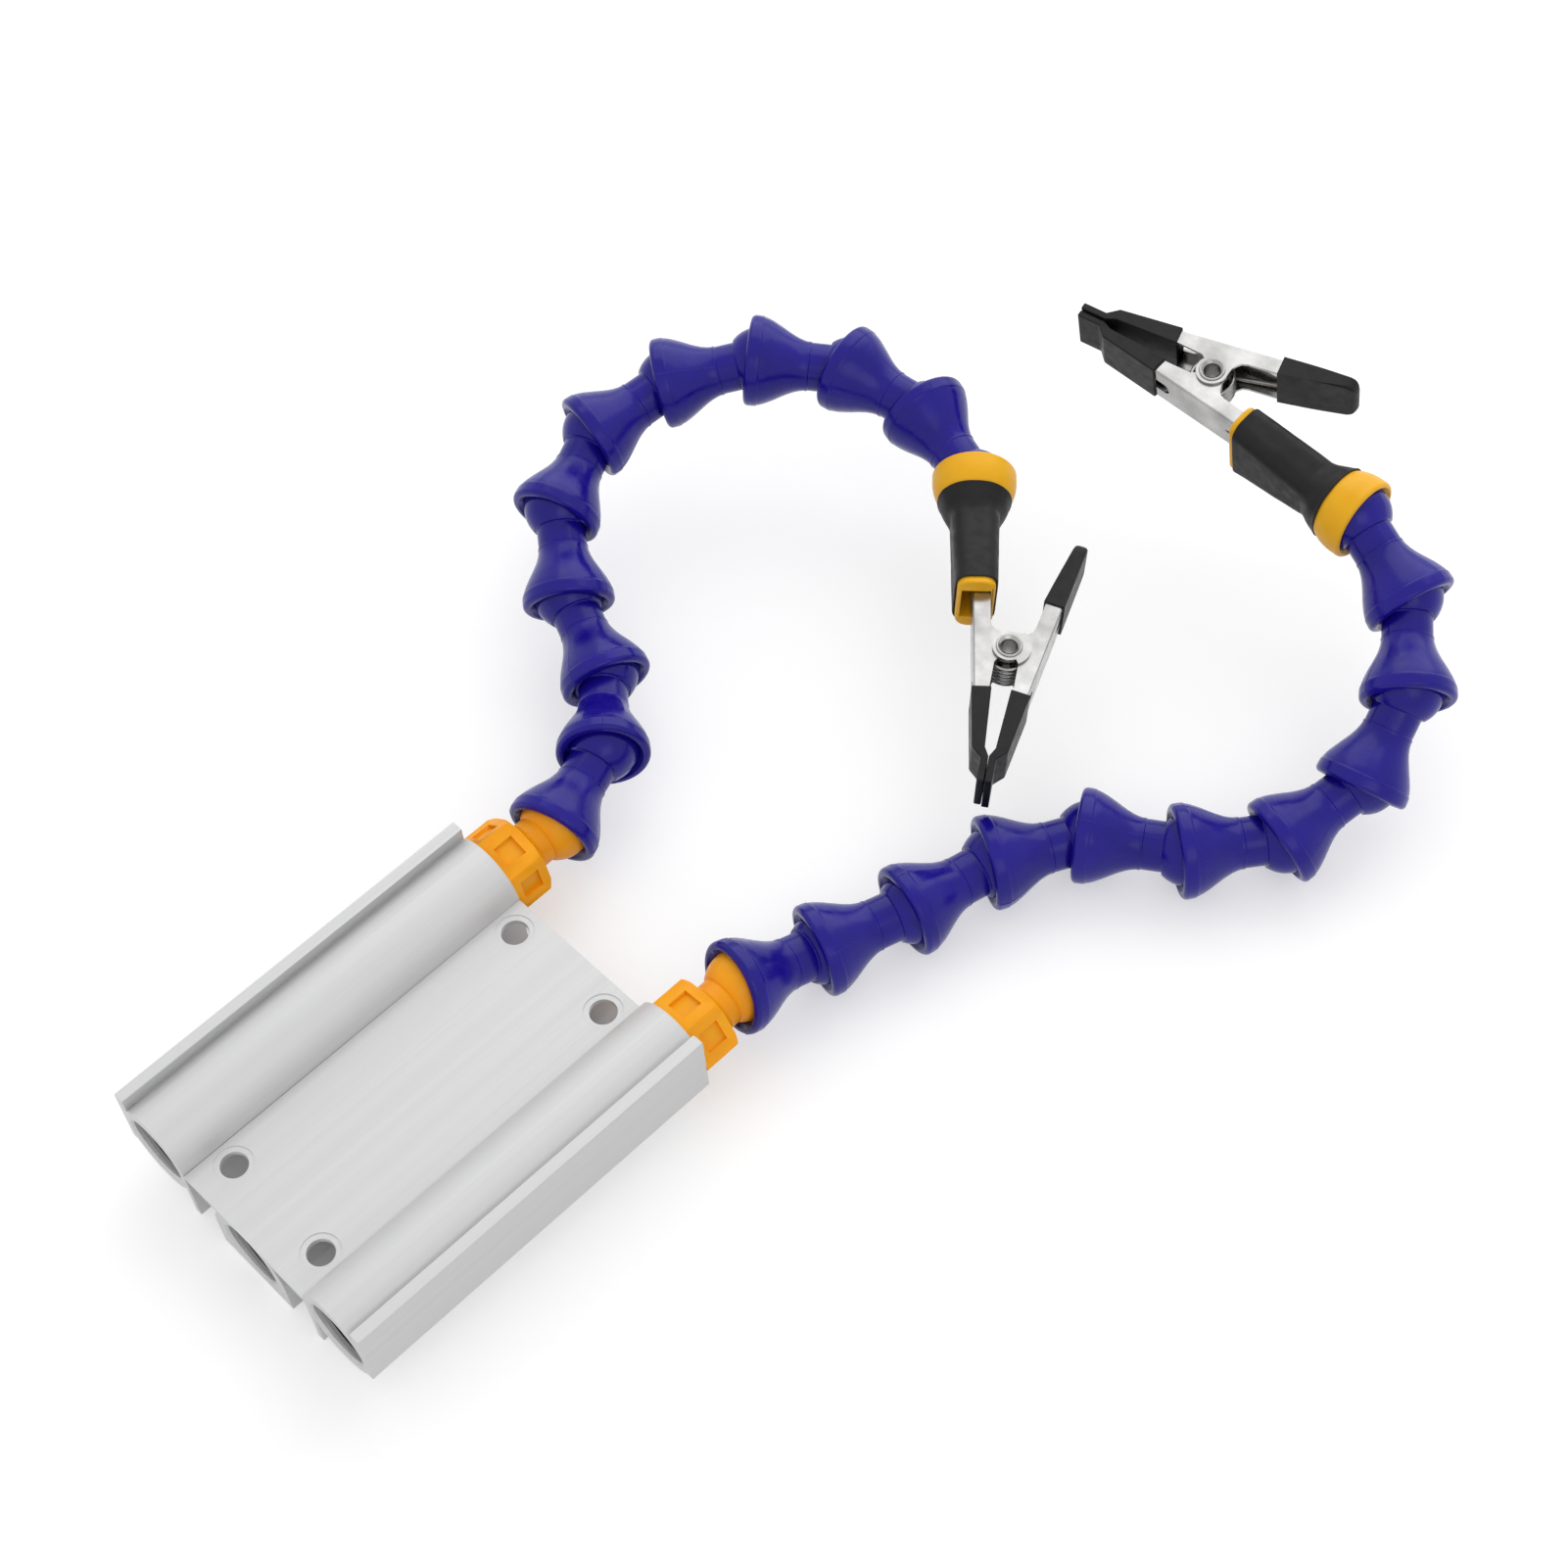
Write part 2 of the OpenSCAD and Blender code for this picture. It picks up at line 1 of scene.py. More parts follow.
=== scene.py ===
# %% [markdown]
# A pair of helping hands for soldering. Two arms of snapped-together ball
# links leave a short aluminium extrusion, and each ends in a small sprung
# clip with black boots. The sizes, the bodies and the joints come from the
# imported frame, so every piece made here has a fixed place to go to.
# This script models the pieces, gives them their finish and lights them.

# %% Load the fixed frame
import json
import math

import bmesh
import bpy
from mathutils import Matrix, Vector


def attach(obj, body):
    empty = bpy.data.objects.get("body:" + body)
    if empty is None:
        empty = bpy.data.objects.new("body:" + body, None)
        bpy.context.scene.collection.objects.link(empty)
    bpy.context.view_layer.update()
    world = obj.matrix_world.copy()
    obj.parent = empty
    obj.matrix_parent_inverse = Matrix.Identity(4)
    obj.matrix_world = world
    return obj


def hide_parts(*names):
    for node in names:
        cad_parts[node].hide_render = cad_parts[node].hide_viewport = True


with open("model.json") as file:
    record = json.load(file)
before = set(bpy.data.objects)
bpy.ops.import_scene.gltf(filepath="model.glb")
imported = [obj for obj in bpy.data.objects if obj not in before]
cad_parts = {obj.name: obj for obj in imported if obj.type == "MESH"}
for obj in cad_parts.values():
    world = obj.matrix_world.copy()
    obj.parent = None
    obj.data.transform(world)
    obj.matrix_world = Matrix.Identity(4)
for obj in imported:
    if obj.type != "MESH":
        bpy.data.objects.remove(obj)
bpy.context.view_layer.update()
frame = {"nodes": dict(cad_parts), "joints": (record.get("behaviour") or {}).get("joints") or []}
joints = {joint["name"]: joint for joint in frame["joints"]}

# %% [markdown]
# Each kind of piece is modelled once, on a bench: at the origin, in
# millimetres, with its own X axis along the arm. Its numbers are easy to read
# there, and the edit-mode operators work well at that size. One matrix then
# carries a copy to each of its places. It also turns millimetres into the
# metres of the frame, and it is applied to the mesh, so the finished object
# itself stays at the origin.

# %% Places along the arms
MM = 0.001
BENCH_TO_FRAME = Matrix.Scale(MM, 4)
SIDES = ("left", "right")
LINKS = 10
# The rivet, as it is seen from the ball in the cup.
RIVET_X = 37.9
RIVET_Y = 5.7
# Half of the angle between the clip's two halves.
SPLAY = math.radians(9.5)


def ball_centre(side, number):
    return Vector(joints[f"ball_{side}_{number:02d}"]["pos_m"])


def place(origin, along, up):
    """Matrix from the bench to the frame: X goes along, and Z as near to up as it can."""
    x = along.normalized()
    y = up.cross(x).normalized()
    z = x.cross(y)
    turn = Matrix((x, y, z)).transposed().to_4x4()
    return Matrix.Translation(origin) @ turn @ BENCH_TO_FRAME


def connector_place(side, turn):
    upright = place(ball_centre(side, 1), Vector((0, 1, 0)), Vector((0, 0, 1)))
    return upright @ Matrix.Rotation(math.radians(turn), 4, "X")


def link_place(side, number):
    here = ball_centre(side, number)
    return place(here, ball_centre(side, number + 1) - here, Vector((0, 0, 1)))


def cup_place(side):
    """The pivot's axis is the cup's Z, and the way to the pivot gives its X."""
    pivot = joints[f"clip_pivot_{side}"]
    up = Vector(pivot["axis"])
    here = ball_centre(side, LINKS + 1)
    tilt = Matrix.Rotation(-math.atan2(RIVET_Y, RIVET_X), 3, up)
    return place(here, tilt @ (Vector(pivot["pos_m"]) - here), up)


def fixed_half_place(side):
    return cup_place(side) @ Matrix.Translation((RIVET_X, RIVET_Y, 0))


def clip_middle_place(side):
    """The rivet's place, with X along the clip's middle line."""
    return fixed_half_place(side) @ Matrix.Rotation(-SPLAY, 4, "Z")


def moving_half_place(side):
    """The moving half is the fixed one turned over about the clip's middle line."""
    turned_over = clip_middle_place(side) @ Matrix.Rotation(math.pi, 4, "X")
    return turned_over @ Matrix.Rotation(SPLAY, 4, "Z")


for side in SIDES:
    reach = (fixed_half_place(side).translation - ball_centre(side, 1)).length / MM
    print(side, "rivet stands", round(reach, 1), "mm from the first ball")

# %% [markdown]
# Operators act on whatever is selected, and the frame arrives selected. So a
# piece is opened with nothing selected, and faces and edges are then chosen
# in code, by where they lie. Two faces meet sharply if the surface turns by
# more than SHARP where they join.

# %% Opening a piece and choosing its edges
SHARP = math.radians(35)


def clear_selection():
    if bpy.context.object and bpy.context.object.mode != "OBJECT":
        bpy.ops.object.mode_set(mode="OBJECT")
    bpy.ops.object.select_all(action="DESELECT")


def select_only(piece):
    """Makes this the piece that operators act on."""
    clear_selection()
    bpy.context.view_layer.objects.active = piece
    piece.select_set(True)


def open_piece(piece):
    select_only(piece)
    bpy.ops.object.mode_set(mode="EDIT")
    bpy.ops.mesh.select_all(action="DESELECT")


def close_piece(piece):
    bpy.ops.object.mode_set(mode="OBJECT")
    clear_selection()
    return piece


def choose(piece, kind, wanted):
    """Selects what wanted() says yes to, and returns how many there are."""
    bpy.ops.mesh.select_mode(type=kind)
    bpy.ops.mesh.select_all(action="DESELECT")
    mesh = bmesh.from_edit_mesh(piece.data)
    items = {"VERT": mesh.verts, "EDGE": mesh.edges, "FACE": mesh.faces}[kind]
    count = 0
    for item in items:
        if wanted(item):
            item.select_set(True)
            count += 1
    mesh.select_flush_mode()
    bmesh.update_edit_mesh(piece.data)
    return count


def is_sharp(edge):
    return edge.calc_face_angle() > SHARP


def bevel_edges(piece, wanted, width, segments, clamp=True):
    """Bevels the edges that wanted() says yes to, and returns how many there are.
    Clamp narrows the bevels where they would run into each other."""
    open_piece(piece)
    count = choose(piece, "EDGE", lambda edge: edge.is_manifold and wanted(edge))
    bpy.ops.mesh.bevel(offset=width, segments=segments, profile=0.5, clamp_overlap=clamp)
    close_piece(piece)
    return count


# %% [markdown]
# A modifier is applied as soon as it is set, because the next step works on
# the mesh that it leaves. Shading is smooth with weighted normals: the large
# faces stay flat, and only the small bevels between them catch the light.

# %% Modifiers, shading and joining
# Points that lie nearer to each other than this, in millimetres, become one.
MERGE = 0.0005


def apply(piece, kind, **settings):
    """Adds a modifier with these settings and applies it at once."""
    select_only(piece)
    modifier = piece.modifiers.new(kind.title(), kind)
    for name, value in settings.items():
        setattr(modifier, name, value)
    bpy.ops.object.modifier_apply(modifier=modifier.name)
    return piece


def cut(piece, cutter, operation="DIFFERENCE"):
    """Cuts the piece with another one, which is used up."""
    apply(piece, "BOOLEAN", operation=operation, object=cutter, solver="EXACT")
    bpy.data.objects.remove(cutter)


def smooth(piece, degrees=35):
    """Smooth shading, broken where two faces meet at more than this angle."""
    select_only(piece)
    bpy.ops.object.shade_smooth_by_angle(angle=math.radians(degrees))
    apply(piece, "WEIGHTED_NORMAL", keep_sharp=True, weight=80)
    clear_selection()
    return piece


def join(first, *others):
    """Makes one piece of several, under the first one's name."""
    clear_selection()
    for piece in (first, *others):
        piece.select_set(True)
    bpy.context.view_layer.objects.active = first
    bpy.ops.object.join()
    clear_selection()
    return first


def tidy_shell(piece):
    """Merges doubled points and turns every face outwards."""
    open_piece(piece)
    bpy.ops.mesh.select_all(action="SELECT")
    bpy.ops.mesh.remove_doubles(threshold=MERGE)
    bpy.ops.mesh.normals_make_consistent(inside=False)
    return close_piece(piece)


# %% [markdown]
# A finished bench piece is a master. Each place on the object gets a copy of it, which is hung on
# the body that it moves with and given its material. The solid of the frame that it stands for, if
# there is one, is hidden.

# %% Masters and their copies
masters = []


def master(piece, name):
    piece.name = name
    masters.append(piece)
    print(name, "has", len(piece.data.polygons), "faces")
    return piece


def put(piece, name, where, body, node, finish):
    """Carries a copy of the finished bench piece to its place on the object."""
    copy = piece.copy()
    copy.data = piece.data.copy()
    copy.name = name
    bpy.context.scene.collection.objects.link(copy)
    copy.data.transform(where)
    copy.data.materials.clear()
    copy.data.materials.append(finish)
    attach(copy, body)
    if node:
        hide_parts(node)
    return copy


# %% [markdown]
# Most of the arm is turned: a link, a cup, a rivet. On the bench such a piece
# is drawn as half an outline, a row of points at x and at a radius, and spun
# about the X axis. The outline starts as one point that is extruded from
# corner to corner.

# %% Turned pieces


def arc(x, r, radius, start, end, steps):
    """Points on an arc about (x, r), from one angle to the other in degrees."""
    angles = [math.radians(start + (end - start) * i / steps) for i in range(steps + 1)]
    return [(x + radius * math.cos(a), r + radius * math.sin(a)) for a in angles]


def one_point(name, x, y):
    """A piece that is one selected point, left open so that it can be extruded."""
    clear_selection()
    bpy.ops.mesh.primitive_plane_add(size=1)
    piece = bpy.context.object
    piece.name = name
    open_piece(piece)
    bpy.ops.mesh.select_all(action="SELECT")
    bpy.ops.mesh.merge(type="CENTER")
    bpy.ops.mesh.select_mode(type="VERT")
    bpy.ops.mesh.select_all(action="SELECT")
    bpy.ops.transform.translate(value=(x, y, 0))
    return piece


def extrude(x, y):
    """Extrudes what is selected by this much."""
    bpy.ops.mesh.extrude_region_move(TRANSFORM_OT_translate={"value": (x, y, 0)})


def turned(name, outline, steps=72):
    """Spins a closed outline of (x, radius) points about the X axis."""
    piece = one_point(name, *outline[0])
    for (x0, r0), (x1, r1) in zip(outline, outline[1:] + outline[:1]):
        extrude(x1 - x0, r1 - r0)
    bpy.ops.mesh.select_all(action="SELECT")
    bpy.ops.mesh.remove_doubles(threshold=MERGE)
    bpy.ops.mesh.select_all(action="SELECT")
    bpy.ops.mesh.spin(steps=steps, angle=math.tau, center=(0, 0, 0), axis=(1, 0, 0))
    close_piece(piece)
    return tidy_shell(piece)


# %% [markdown]
# The arm's link is one moulding: a bell with a thick round rim, a slim neck
# with a small step at each end, and a hollow ball that snaps into the next
# bell. The bell's outside falls from the rim to the neck along a cosine. All
# distances along X start at the middle of the link's own socket.

# %% Outline of a link
# From the middle of one ball to the middle of the next.
PITCH = 17.2
BALL_R = 6.4
# The ball's flat front, from the ball's middle.
FRONT_X = 4
FRONT_R = 4.8
HOLE_R = 3.2
HOLE_EDGE = 0.2
SOCKET_R = 6.45
BELL_R = 8.5
BELL_START = -1.4
BELL_LENGTH = 11
BELL_FOOT_R = 4.55
NECK_R = 4.5
NECK_END = 13.2
RIM_X = -2.3
RIM_ROUND = 0.9
MOUTH_X = -1.3
# The mouth grows by this much of radius for each millimetre outwards.
MOUTH_FLARE = 0.9


def bell_radius(x):
    share = (x - BELL_START) / BELL_LENGTH
    return BELL_FOOT_R + (BELL_R - BELL_FOOT_R) * (0.5 + 0.5 * math.cos(math.pi * share))


def mouth_radius(x):
    """The mouth widens outwards from the socket's sphere."""
    return math.sqrt(SOCKET_R ** 2 - MOUTH_X ** 2) + MOUTH_FLARE * (MOUTH_X - x)


def angle_on(radius, x):
    """Angle, in degrees, of the point of a circle that lies at x."""
    return math.degrees(math.acos(x / radius))


def socket(x_end, hole_r):
    """Inside of the socket, from the hole behind it to the mouth at x_end."""
    back_x = math.sqrt(SOCKET_R ** 2 - hole_r ** 2)
    sphere = arc(0, 0, SOCKET_R, angle_on(SOCKET_R, back_x), angle_on(SOCKET_R, MOUTH_X), 12)
    return sphere + [(x_end, mouth_radius(x_end))]


def round_rim(x, r, radius, steps):
    """A rim that reaches x at its end and r outside, rounded over a quarter turn."""
    return arc(x + radius, r - radius, radius, 180, 90, steps)


def ball_outline(x, back_x):
    """Outside of a ball centred at x, from its back over the flat front to the hole."""
    start = angle_on(BALL_R, back_x - x)
    ball = arc(x, 0, BALL_R, start, angle_on(BALL_R, FRONT_X), 16)
    front_x = x + FRONT_X
    return ball + [(front_x, FRONT_R), (front_x, HOLE_R + HOLE_EDGE), (front_x - HOLE_EDGE, HOLE_R)]


shoulder = [(-0.4, 8.47), (0.1, 8.4), (0.35, 8.22)]
bell = [(x, bell_radius(x)) for x in (0.6, 1.2, 2, 3, 4, 5, 6, 7, 8, 8.7)]
neck = [(9.2, 4.66), (9.35, 4.6), (9.45, NECK_R), (12.95, NECK_R), (13.1, 4.62)]
link_outline = (
    round_rim(RIM_X, BELL_R, RIM_ROUND, 6) + shoulder + bell + neck
    + ball_outline(PITCH, NECK_END) + socket(RIM_X, HOLE_R)
)
link = turned("link", link_outline)
print("link outline", len(link_outline), "points")

# %% [markdown]
# The mould for the link opens in two halves, and the plastic shows where they
# met: a hair-fine ridge runs along both sides. Here the two rows of edges
# that the spin left in that plane are bevelled into a narrow strip, and the
# strip's middle is pushed out by a few hundredths of a millimetre.

# %% Parting line
PARTING_WIDTH = 0.1
# Each point of the strip's middle row moves out to this many times its distance.
PARTING_RISE = 1.009
# How far from the plane of the mould a point may lie and still count as in it.
IN_PLANE = 1e-4
# What lies nearer than this to the inside is no part of the outside.
LEAST_WALL = 0.35


def parting_line(piece, outside):
    """Raises a fine ridge where the outside crosses the plane of the mould."""

    def on_line(vert):
        return abs(vert.co.z) < IN_PLANE and outside(vert.co.x, abs(vert.co.y))

    open_piece(piece)
    count = choose(piece, "EDGE", lambda edge: all(on_line(vert) for vert in edge.verts))
    bpy.ops.mesh.bevel(offset=PARTING_WIDTH, segments=2, profile=0.5)
    choose(piece, "VERT", on_line)
    bpy.ops.transform.resize(value=(1, PARTING_RISE, 1), center_override=(0, 0, 0))
    print(piece.name, "parting line", count, "edges")
    return close_piece(piece)


def outside_of_link(x, r):
    inside = math.sqrt(max(SOCKET_R ** 2 - x ** 2, HOLE_R ** 2))
    return r > inside + LEAST_WALL and x < PITCH + FRONT_X - 0.1


parting_line(link, outside_of_link)
master(smooth(link), "link_master")

# %% [markdown]
# The connector screws into the extrusion. Its hexagon has a square recess in
# each flat. It is a six-sided cylinder, cut to a turned cone that takes the
# corners off at its far end. Six small blocks cut the recesses, and a bevel
# softens every edge as the moulding's own edges are.

# %% Hexagon of the connector
SEAT_X = -15.5
HEX_LENGTH = 7.5
HEX_END = SEAT_X + HEX_LENGTH
HEX_FLATS = 14.4
HEX_CORNER = HEX_FLATS / 2 / math.cos(math.pi / 6)
HEX_EDGE = 0.28
RECESS = 4
RECESS_DEPTH = 0.7


def block(low, high):
    """A box between two corners, started as a cube."""
    clear_selection()
    centre = [(a + b) / 2 for a, b in zip(low, high)]
    bpy.ops.mesh.primitive_cube_add(size=1, location=centre)
    piece = bpy.context.object
    piece.scale = [b - a for a, b in zip(low, high)]
    bpy.ops.object.transform_apply(location=True, rotation=True, scale=True)
    return piece


def corner_cone():
    """What the hexagon is cut to: its corners are turned down at the far end."""
    return turned("cone", [
        (SEAT_X - 1, 0), (SEAT_X - 1, HEX_CORNER + 1), (HEX_END - 1.1, HEX_CORNER + 0.4),
        (HEX_END + 0.1, HEX_CORNER - 0.95), (HEX_END + 0.1, 0)])


def recess_blocks():
    """Six blocks in one piece, one sunk into each flat."""
    middle, half = (SEAT_X + HEX_END) / 2, RECESS / 2
    sunk = HEX_FLATS / 2 - RECESS_DEPTH
    blocks = []
    for turn in range(6):
        blocks.append(block((middle - half, -half, sunk), (middle + half, half, sunk + 2)))
        blocks[-1].data.transform(Matrix.Rotation(turn * math.pi / 3, 4, "X"))
    return join(*blocks)


def hexagon():
    clear_selection()
    bpy.ops.mesh.primitive_cylinder_add(
        vertices=6, radius=HEX_CORNER, depth=HEX_LENGTH,
        location=((SEAT_X + HEX_END) / 2, 0, 0), rotation=(0, math.pi / 2, 0))
    piece = bpy.context.object
    bpy.ops.object.transform_apply(location=True, rotation=True, scale=True)
    cut(piece, corner_cone(), "INTERSECT")
    cut(piece, recess_blocks())
    return apply(piece, "BEVEL", width=HEX_EDGE, segments=3, limit_method="ANGLE",
                 angle_limit=math.radians(20), use_clamp_overlap=True)


# %% [markdown]
# The rest of the connector is turned in one go: a threaded shank, a collar
# that shows a little in front of the hexagon, and a neck and a ball like those
# of the links. The hexagon is joined to it as it is, without a bore of its
# own. That closes the hole, but so deep inside that it hardly ever shows.

# %% Shank, neck and ball of the connector
SHANK_END = SEAT_X - 9
SHANK_R = 5.6
CREST_R = 6.08
COLLAR_R = 6.4
THREAD_PITCH = 1.337
SHANK_TURNS = 6


def stub_outline():
    """Threaded shank, collar, neck and ball, round a hole from end to end."""
    thread = []
    for turn in range(SHANK_TURNS):
        x = SHANK_END + 0.5 + turn * THREAD_PITCH
        thread += [(x, SHANK_R), (x + 0.45, CREST_R), (x + 0.6, CREST_R), (x + 1.05, SHANK_R)]
    collar = [(SEAT_X + 1, SHANK_R), (SEAT_X + 1, COLLAR_R), (HEX_END + 0.1, COLLAR_R),
              (HEX_END + 0.35, COLLAR_R - 0.2)]
    neck = [(HEX_END + 0.9, 4.95), (HEX_END + 1.3, 4.6), (HEX_END + 1.7, NECK_R), (-4.3, NECK_R)]
    return ([(SHANK_END, SHANK_R)] + thread + collar + neck + ball_outline(0, -4.1)
            + [(SHANK_END, HOLE_R)])


stub = turned("stub", stub_outline())
parting_line(stub, lambda x, r: r > NECK_R - 0.2 and HEX_END - 0.5 < x < FRONT_X - 0.1)
connector = join(stub, hexagon())
master(smooth(connector), "connector_master")

# %% [markdown]
# The end cup is a link without a ball: a round-rimmed dome with a flat
# nozzle, in which the clip's handle sits. The dome is turned. The nozzle
# starts as a block whose far face is made lower and wider, so it fans out;
# its long edges are bevelled, and a smaller block cuts the hollow.

# %% Dome of the end cup
CUP_R = 7.75
CUP_X = -2
CUP_ROUND = 0.7
CUP_HOLE_R = 2
DOME_LENGTH = 8.2


def dome_radius(x):
    return CUP_R * math.sqrt(1 - (x / DOME_LENGTH) ** 2)


def dome():
    stations = (0, 0.8, 1.6, 2.4, 3.2, 4, 4.8, 5.6, 6.3, 7, 7.5, 7.9)
    outside = [(x, dome_radius(x)) for x in stations]
    inside = [(stations[-1], CUP_HOLE_R - 0.1), (7, CUP_HOLE_R)]
    rim = round_rim(CUP_X, CUP_R, CUP_ROUND, 5)
    return turned("dome", rim + outside + inside + socket(CUP_X, CUP_HOLE_R))


# %% Nozzle of the end cup
NOZZLE_START = 5
NOZZLE_END = 26.5
# Height and width of the nozzle at its start, and at its end.
NOZZLE_SIZES = ((8.2, 8.6), (6.8, 14.4))
NOZZLE_CORNER = 2.4
HOLLOW_START = 12.5
HOLLOW_HIGH = 2.6
HOLLOW_WIDE = 4.1
MOUTH_EDGE = 0.5
HOLLOW_EDGE = 0.25


def fan_size(x, skin):
    """Height and width of the nozzle at x, grown by skin all round."""
    share = (x - NOZZLE_START) / (NOZZLE_END - NOZZLE_START)
    return [start + (end - start) * share + 2 * skin for start, end in zip(*NOZZLE_SIZES)]


def fan(x0, x1, skin):
    """The nozzle's outside between x0 and x1, grown by skin."""
    high, wide = fan_size(x0, skin)
    end_high, end_wide = fan_size(x1, skin)
    piece = block((x0, -high / 2, -wide / 2), (x1, high / 2, wide / 2))
    open_piece(piece)
    choose(piece, "FACE", lambda face: face.normal.x > 0.9)
    bpy.ops.transform.resize(value=(1, end_high / high, end_wide / wide),
                             center_override=(x1, 0, 0))
    choose(piece, "EDGE", lambda edge: abs(edge.verts[0].co.x - edge.verts[1].co.x) > 1)
    bpy.ops.mesh.bevel(offset=NOZZLE_CORNER, segments=8, profile=0.5)
    return close_piece(piece)


def at_mouth(edge):
    """A sharp edge of the nozzle's free end."""
    return is_sharp(edge) and min(vert.co.x for vert in edge.verts) > NOZZLE_END - 0.01


def clear_of_hollow(edge):
    return all(abs(vert.co.y) > HOLLOW_HIGH + 0.05 or abs(vert.co.z) > HOLLOW_WIDE + 0.05
               for vert in edge.verts)


def nozzle():
    piece = fan(NOZZLE_START, NOZZLE_END, 0)
    cut(piece, block((HOLLOW_START, -HOLLOW_HIGH, -HOLLOW_WIDE),
                     (NOZZLE_END + 1, HOLLOW_HIGH, HOLLOW_WIDE)))
    outer = bevel_edges(piece, lambda edge: at_mouth(edge) and clear_of_hollow(edge),
                        MOUTH_EDGE, 4, clamp=False)
    inner = bevel_edges(piece, lambda edge: at_mouth(edge) and not clear_of_hollow(edge),
                        HOLLOW_EDGE, 3, clamp=False)
    print("nozzle's mouth has", outer, "outer and", inner, "inner edges")
    return piece


cup = join(dome(), nozzle())
master(smooth(cup), "cup_master")

# %% [markdown]
# A length of heat-shrink tube hides where the clip's handle goes into the
# cup. It has drawn itself tight, so it is flat with soft corners over the
# nozzle and swells to a circle over the dome. It starts as the nozzle's own
# shape, with extra rows of edges along its flat sides, so that these can
# follow the dome. It is then extruded towards the cup ring by ring, and the
# rings are made rounder with To Sphere. Its wall comes from Solidify.

# %% Heat-shrink sleeve
SKIN = 0.06
SLEEVE_WALL = 0.38
SLEEVE_FLAT = 9.6
SLEEVE_END = 25.3
# X, roundness and radius of each ring from the nozzle to the dome.
SLEEVE_RINGS = (
    (9, 0.1, 5.0), (8.4, 0.3, 5.1), (7.8, 0.5, 5.25), (7.1, 0.75, 5.5), (6.4, 0.9, 5.8),
    (5.7, 1, 6.08), (5.2, 1, 6.26), (4.8, 1, 6.4), (4.4, 1, 6.62), (4, 1, 6.82))
# Places of the extra rows of edges: across its width, across its height, along it.
WIDTH_ROWS = (-1.8, 0, 1.8)
HEIGHT_ROWS = (-0.9, 0, 0.9)
LENGTH_ROWS = (24.8, 22, 19, 16, 13)


def cut_rows(normal, distances):
    """Adds a row of edges where each of these planes crosses the open piece."""
    for distance in distances:
        bpy.ops.mesh.select_all(action="SELECT")
        bpy.ops.mesh.bisect(plane_co=[distance * part for part in normal], plane_no=normal)


def ring_radius(piece, x):
    """Mean distance from the axis of the points at x."""
    mesh = bmesh.from_edit_mesh(piece.data)
    ring = [vert.co for vert in mesh.verts if abs(vert.co.x - x) < 0.01]
    return sum(math.hypot(point.y, point.z) for point in ring) / len(ring)


def sleeve_tube():
    piece = fan(SLEEVE_FLAT, SLEEVE_END, SKIN)
    open_piece(piece)
    choose(piece, "FACE", lambda face: abs(face.normal.x) > 0.9)
    bpy.ops.mesh.delete(type="FACE")
    cut_rows((0, 0, 1), WIDTH_ROWS)
    cut_rows((0, 1, 0), HEIGHT_ROWS)
    x = SLEEVE_FLAT
    for new_x, roundness, radius in SLEEVE_RINGS:
        choose(piece, "EDGE", lambda edge: edge.is_boundary and edge.verts[0].co.x < x + 0.01)
        extrude(new_x - x, 0)
        bpy.ops.transform.tosphere(value=roundness)
        size = radius / ring_radius(piece, new_x)
        bpy.ops.transform.resize(value=(1, size, size), center_override=(new_x, 0, 0))
        x = new_x
    cut_rows((1, 0, 0), LENGTH_ROWS)
    return close_piece(piece)


sleeve = tidy_shell(sleeve_tube())
apply(sleeve, "SOLIDIFY", thickness=SLEEVE_WALL, offset=1)
apply(sleeve, "SUBSURF", levels=2, render_levels=2)
ripple = bpy.data.textures.new("sleeve_ripple", "CLOUDS")
ripple.noise_scale = 4
apply(sleeve, "DISPLACE", texture=ripple, strength=0.16, mid_level=0.5, texture_coords="LOCAL")
master(smooth(sleeve, degrees=50), "sleeve_master")

# %% [markdown]
# The clip's two halves are bent from nickel-plated sheet. Their outlines are
# already right in the frame, so copies of those solids come to the bench. A
# copy is loose triangles: it is merged, and faces that lie in one plane are
# joined again. What makes sheet steel look real is its edges: the bend along
# the back is round, and every cut edge is slightly worn, so both are bevelled.

# %% Copies of the frame's own solids
# The loose corners of a copy meet within this many millimetres.
COPY_MERGE = 0.002


def bench_copy(node, where, flatten=True):
    """A merged copy of a node, carried back from its place to the bench."""
    source = frame["nodes"][node]
    clear_selection()
    piece = source.copy()
    piece.data = source.data.copy()
    piece.parent = None
    for key in list(piece.keys()):
        del piece[key]
    bpy.context.scene.collection.objects.link(piece)
    piece.data.transform(where.inverted())
    open_piece(piece)
    bpy.ops.mesh.select_all(action="SELECT")
    bpy.ops.mesh.remove_doubles(threshold=COPY_MERGE)
    bpy.ops.mesh.customdata_custom_splitnormals_clear()
    if flatten:
        bpy.ops.mesh.dissolve_limited(angle_limit=math.radians(1), delimit=set())
    return close_piece(piece)


# %% Halves of the clip
BEND_R = 0.4
CUT_EDGE = 0.07
# The bends lie beyond BACK_Y, and are longer than SHORTEST_BEND.
BACK_Y = -6.25
SHORTEST_BEND = 3


def is_bend(edge):
    """The long corner between a half's back and its walls."""
    a, b = (vert.co for vert in edge.verts)
    at_back = max(a.y, b.y) < BACK_Y and abs(a.z - b.z) < 0.01
    return at_back and (a - b).length > SHORTEST_BEND and is_sharp(edge)


def sheet_half(node, where, name):
    piece = bench_copy(node, where)
    bends = bevel_edges(piece, is_bend, BEND_R, 4)
    cuts = bevel_edges(piece, is_sharp, CUT_EDGE, 2)
    print(name, bends, "bends", cuts, "cut edges")
    return master(smooth(piece), name)


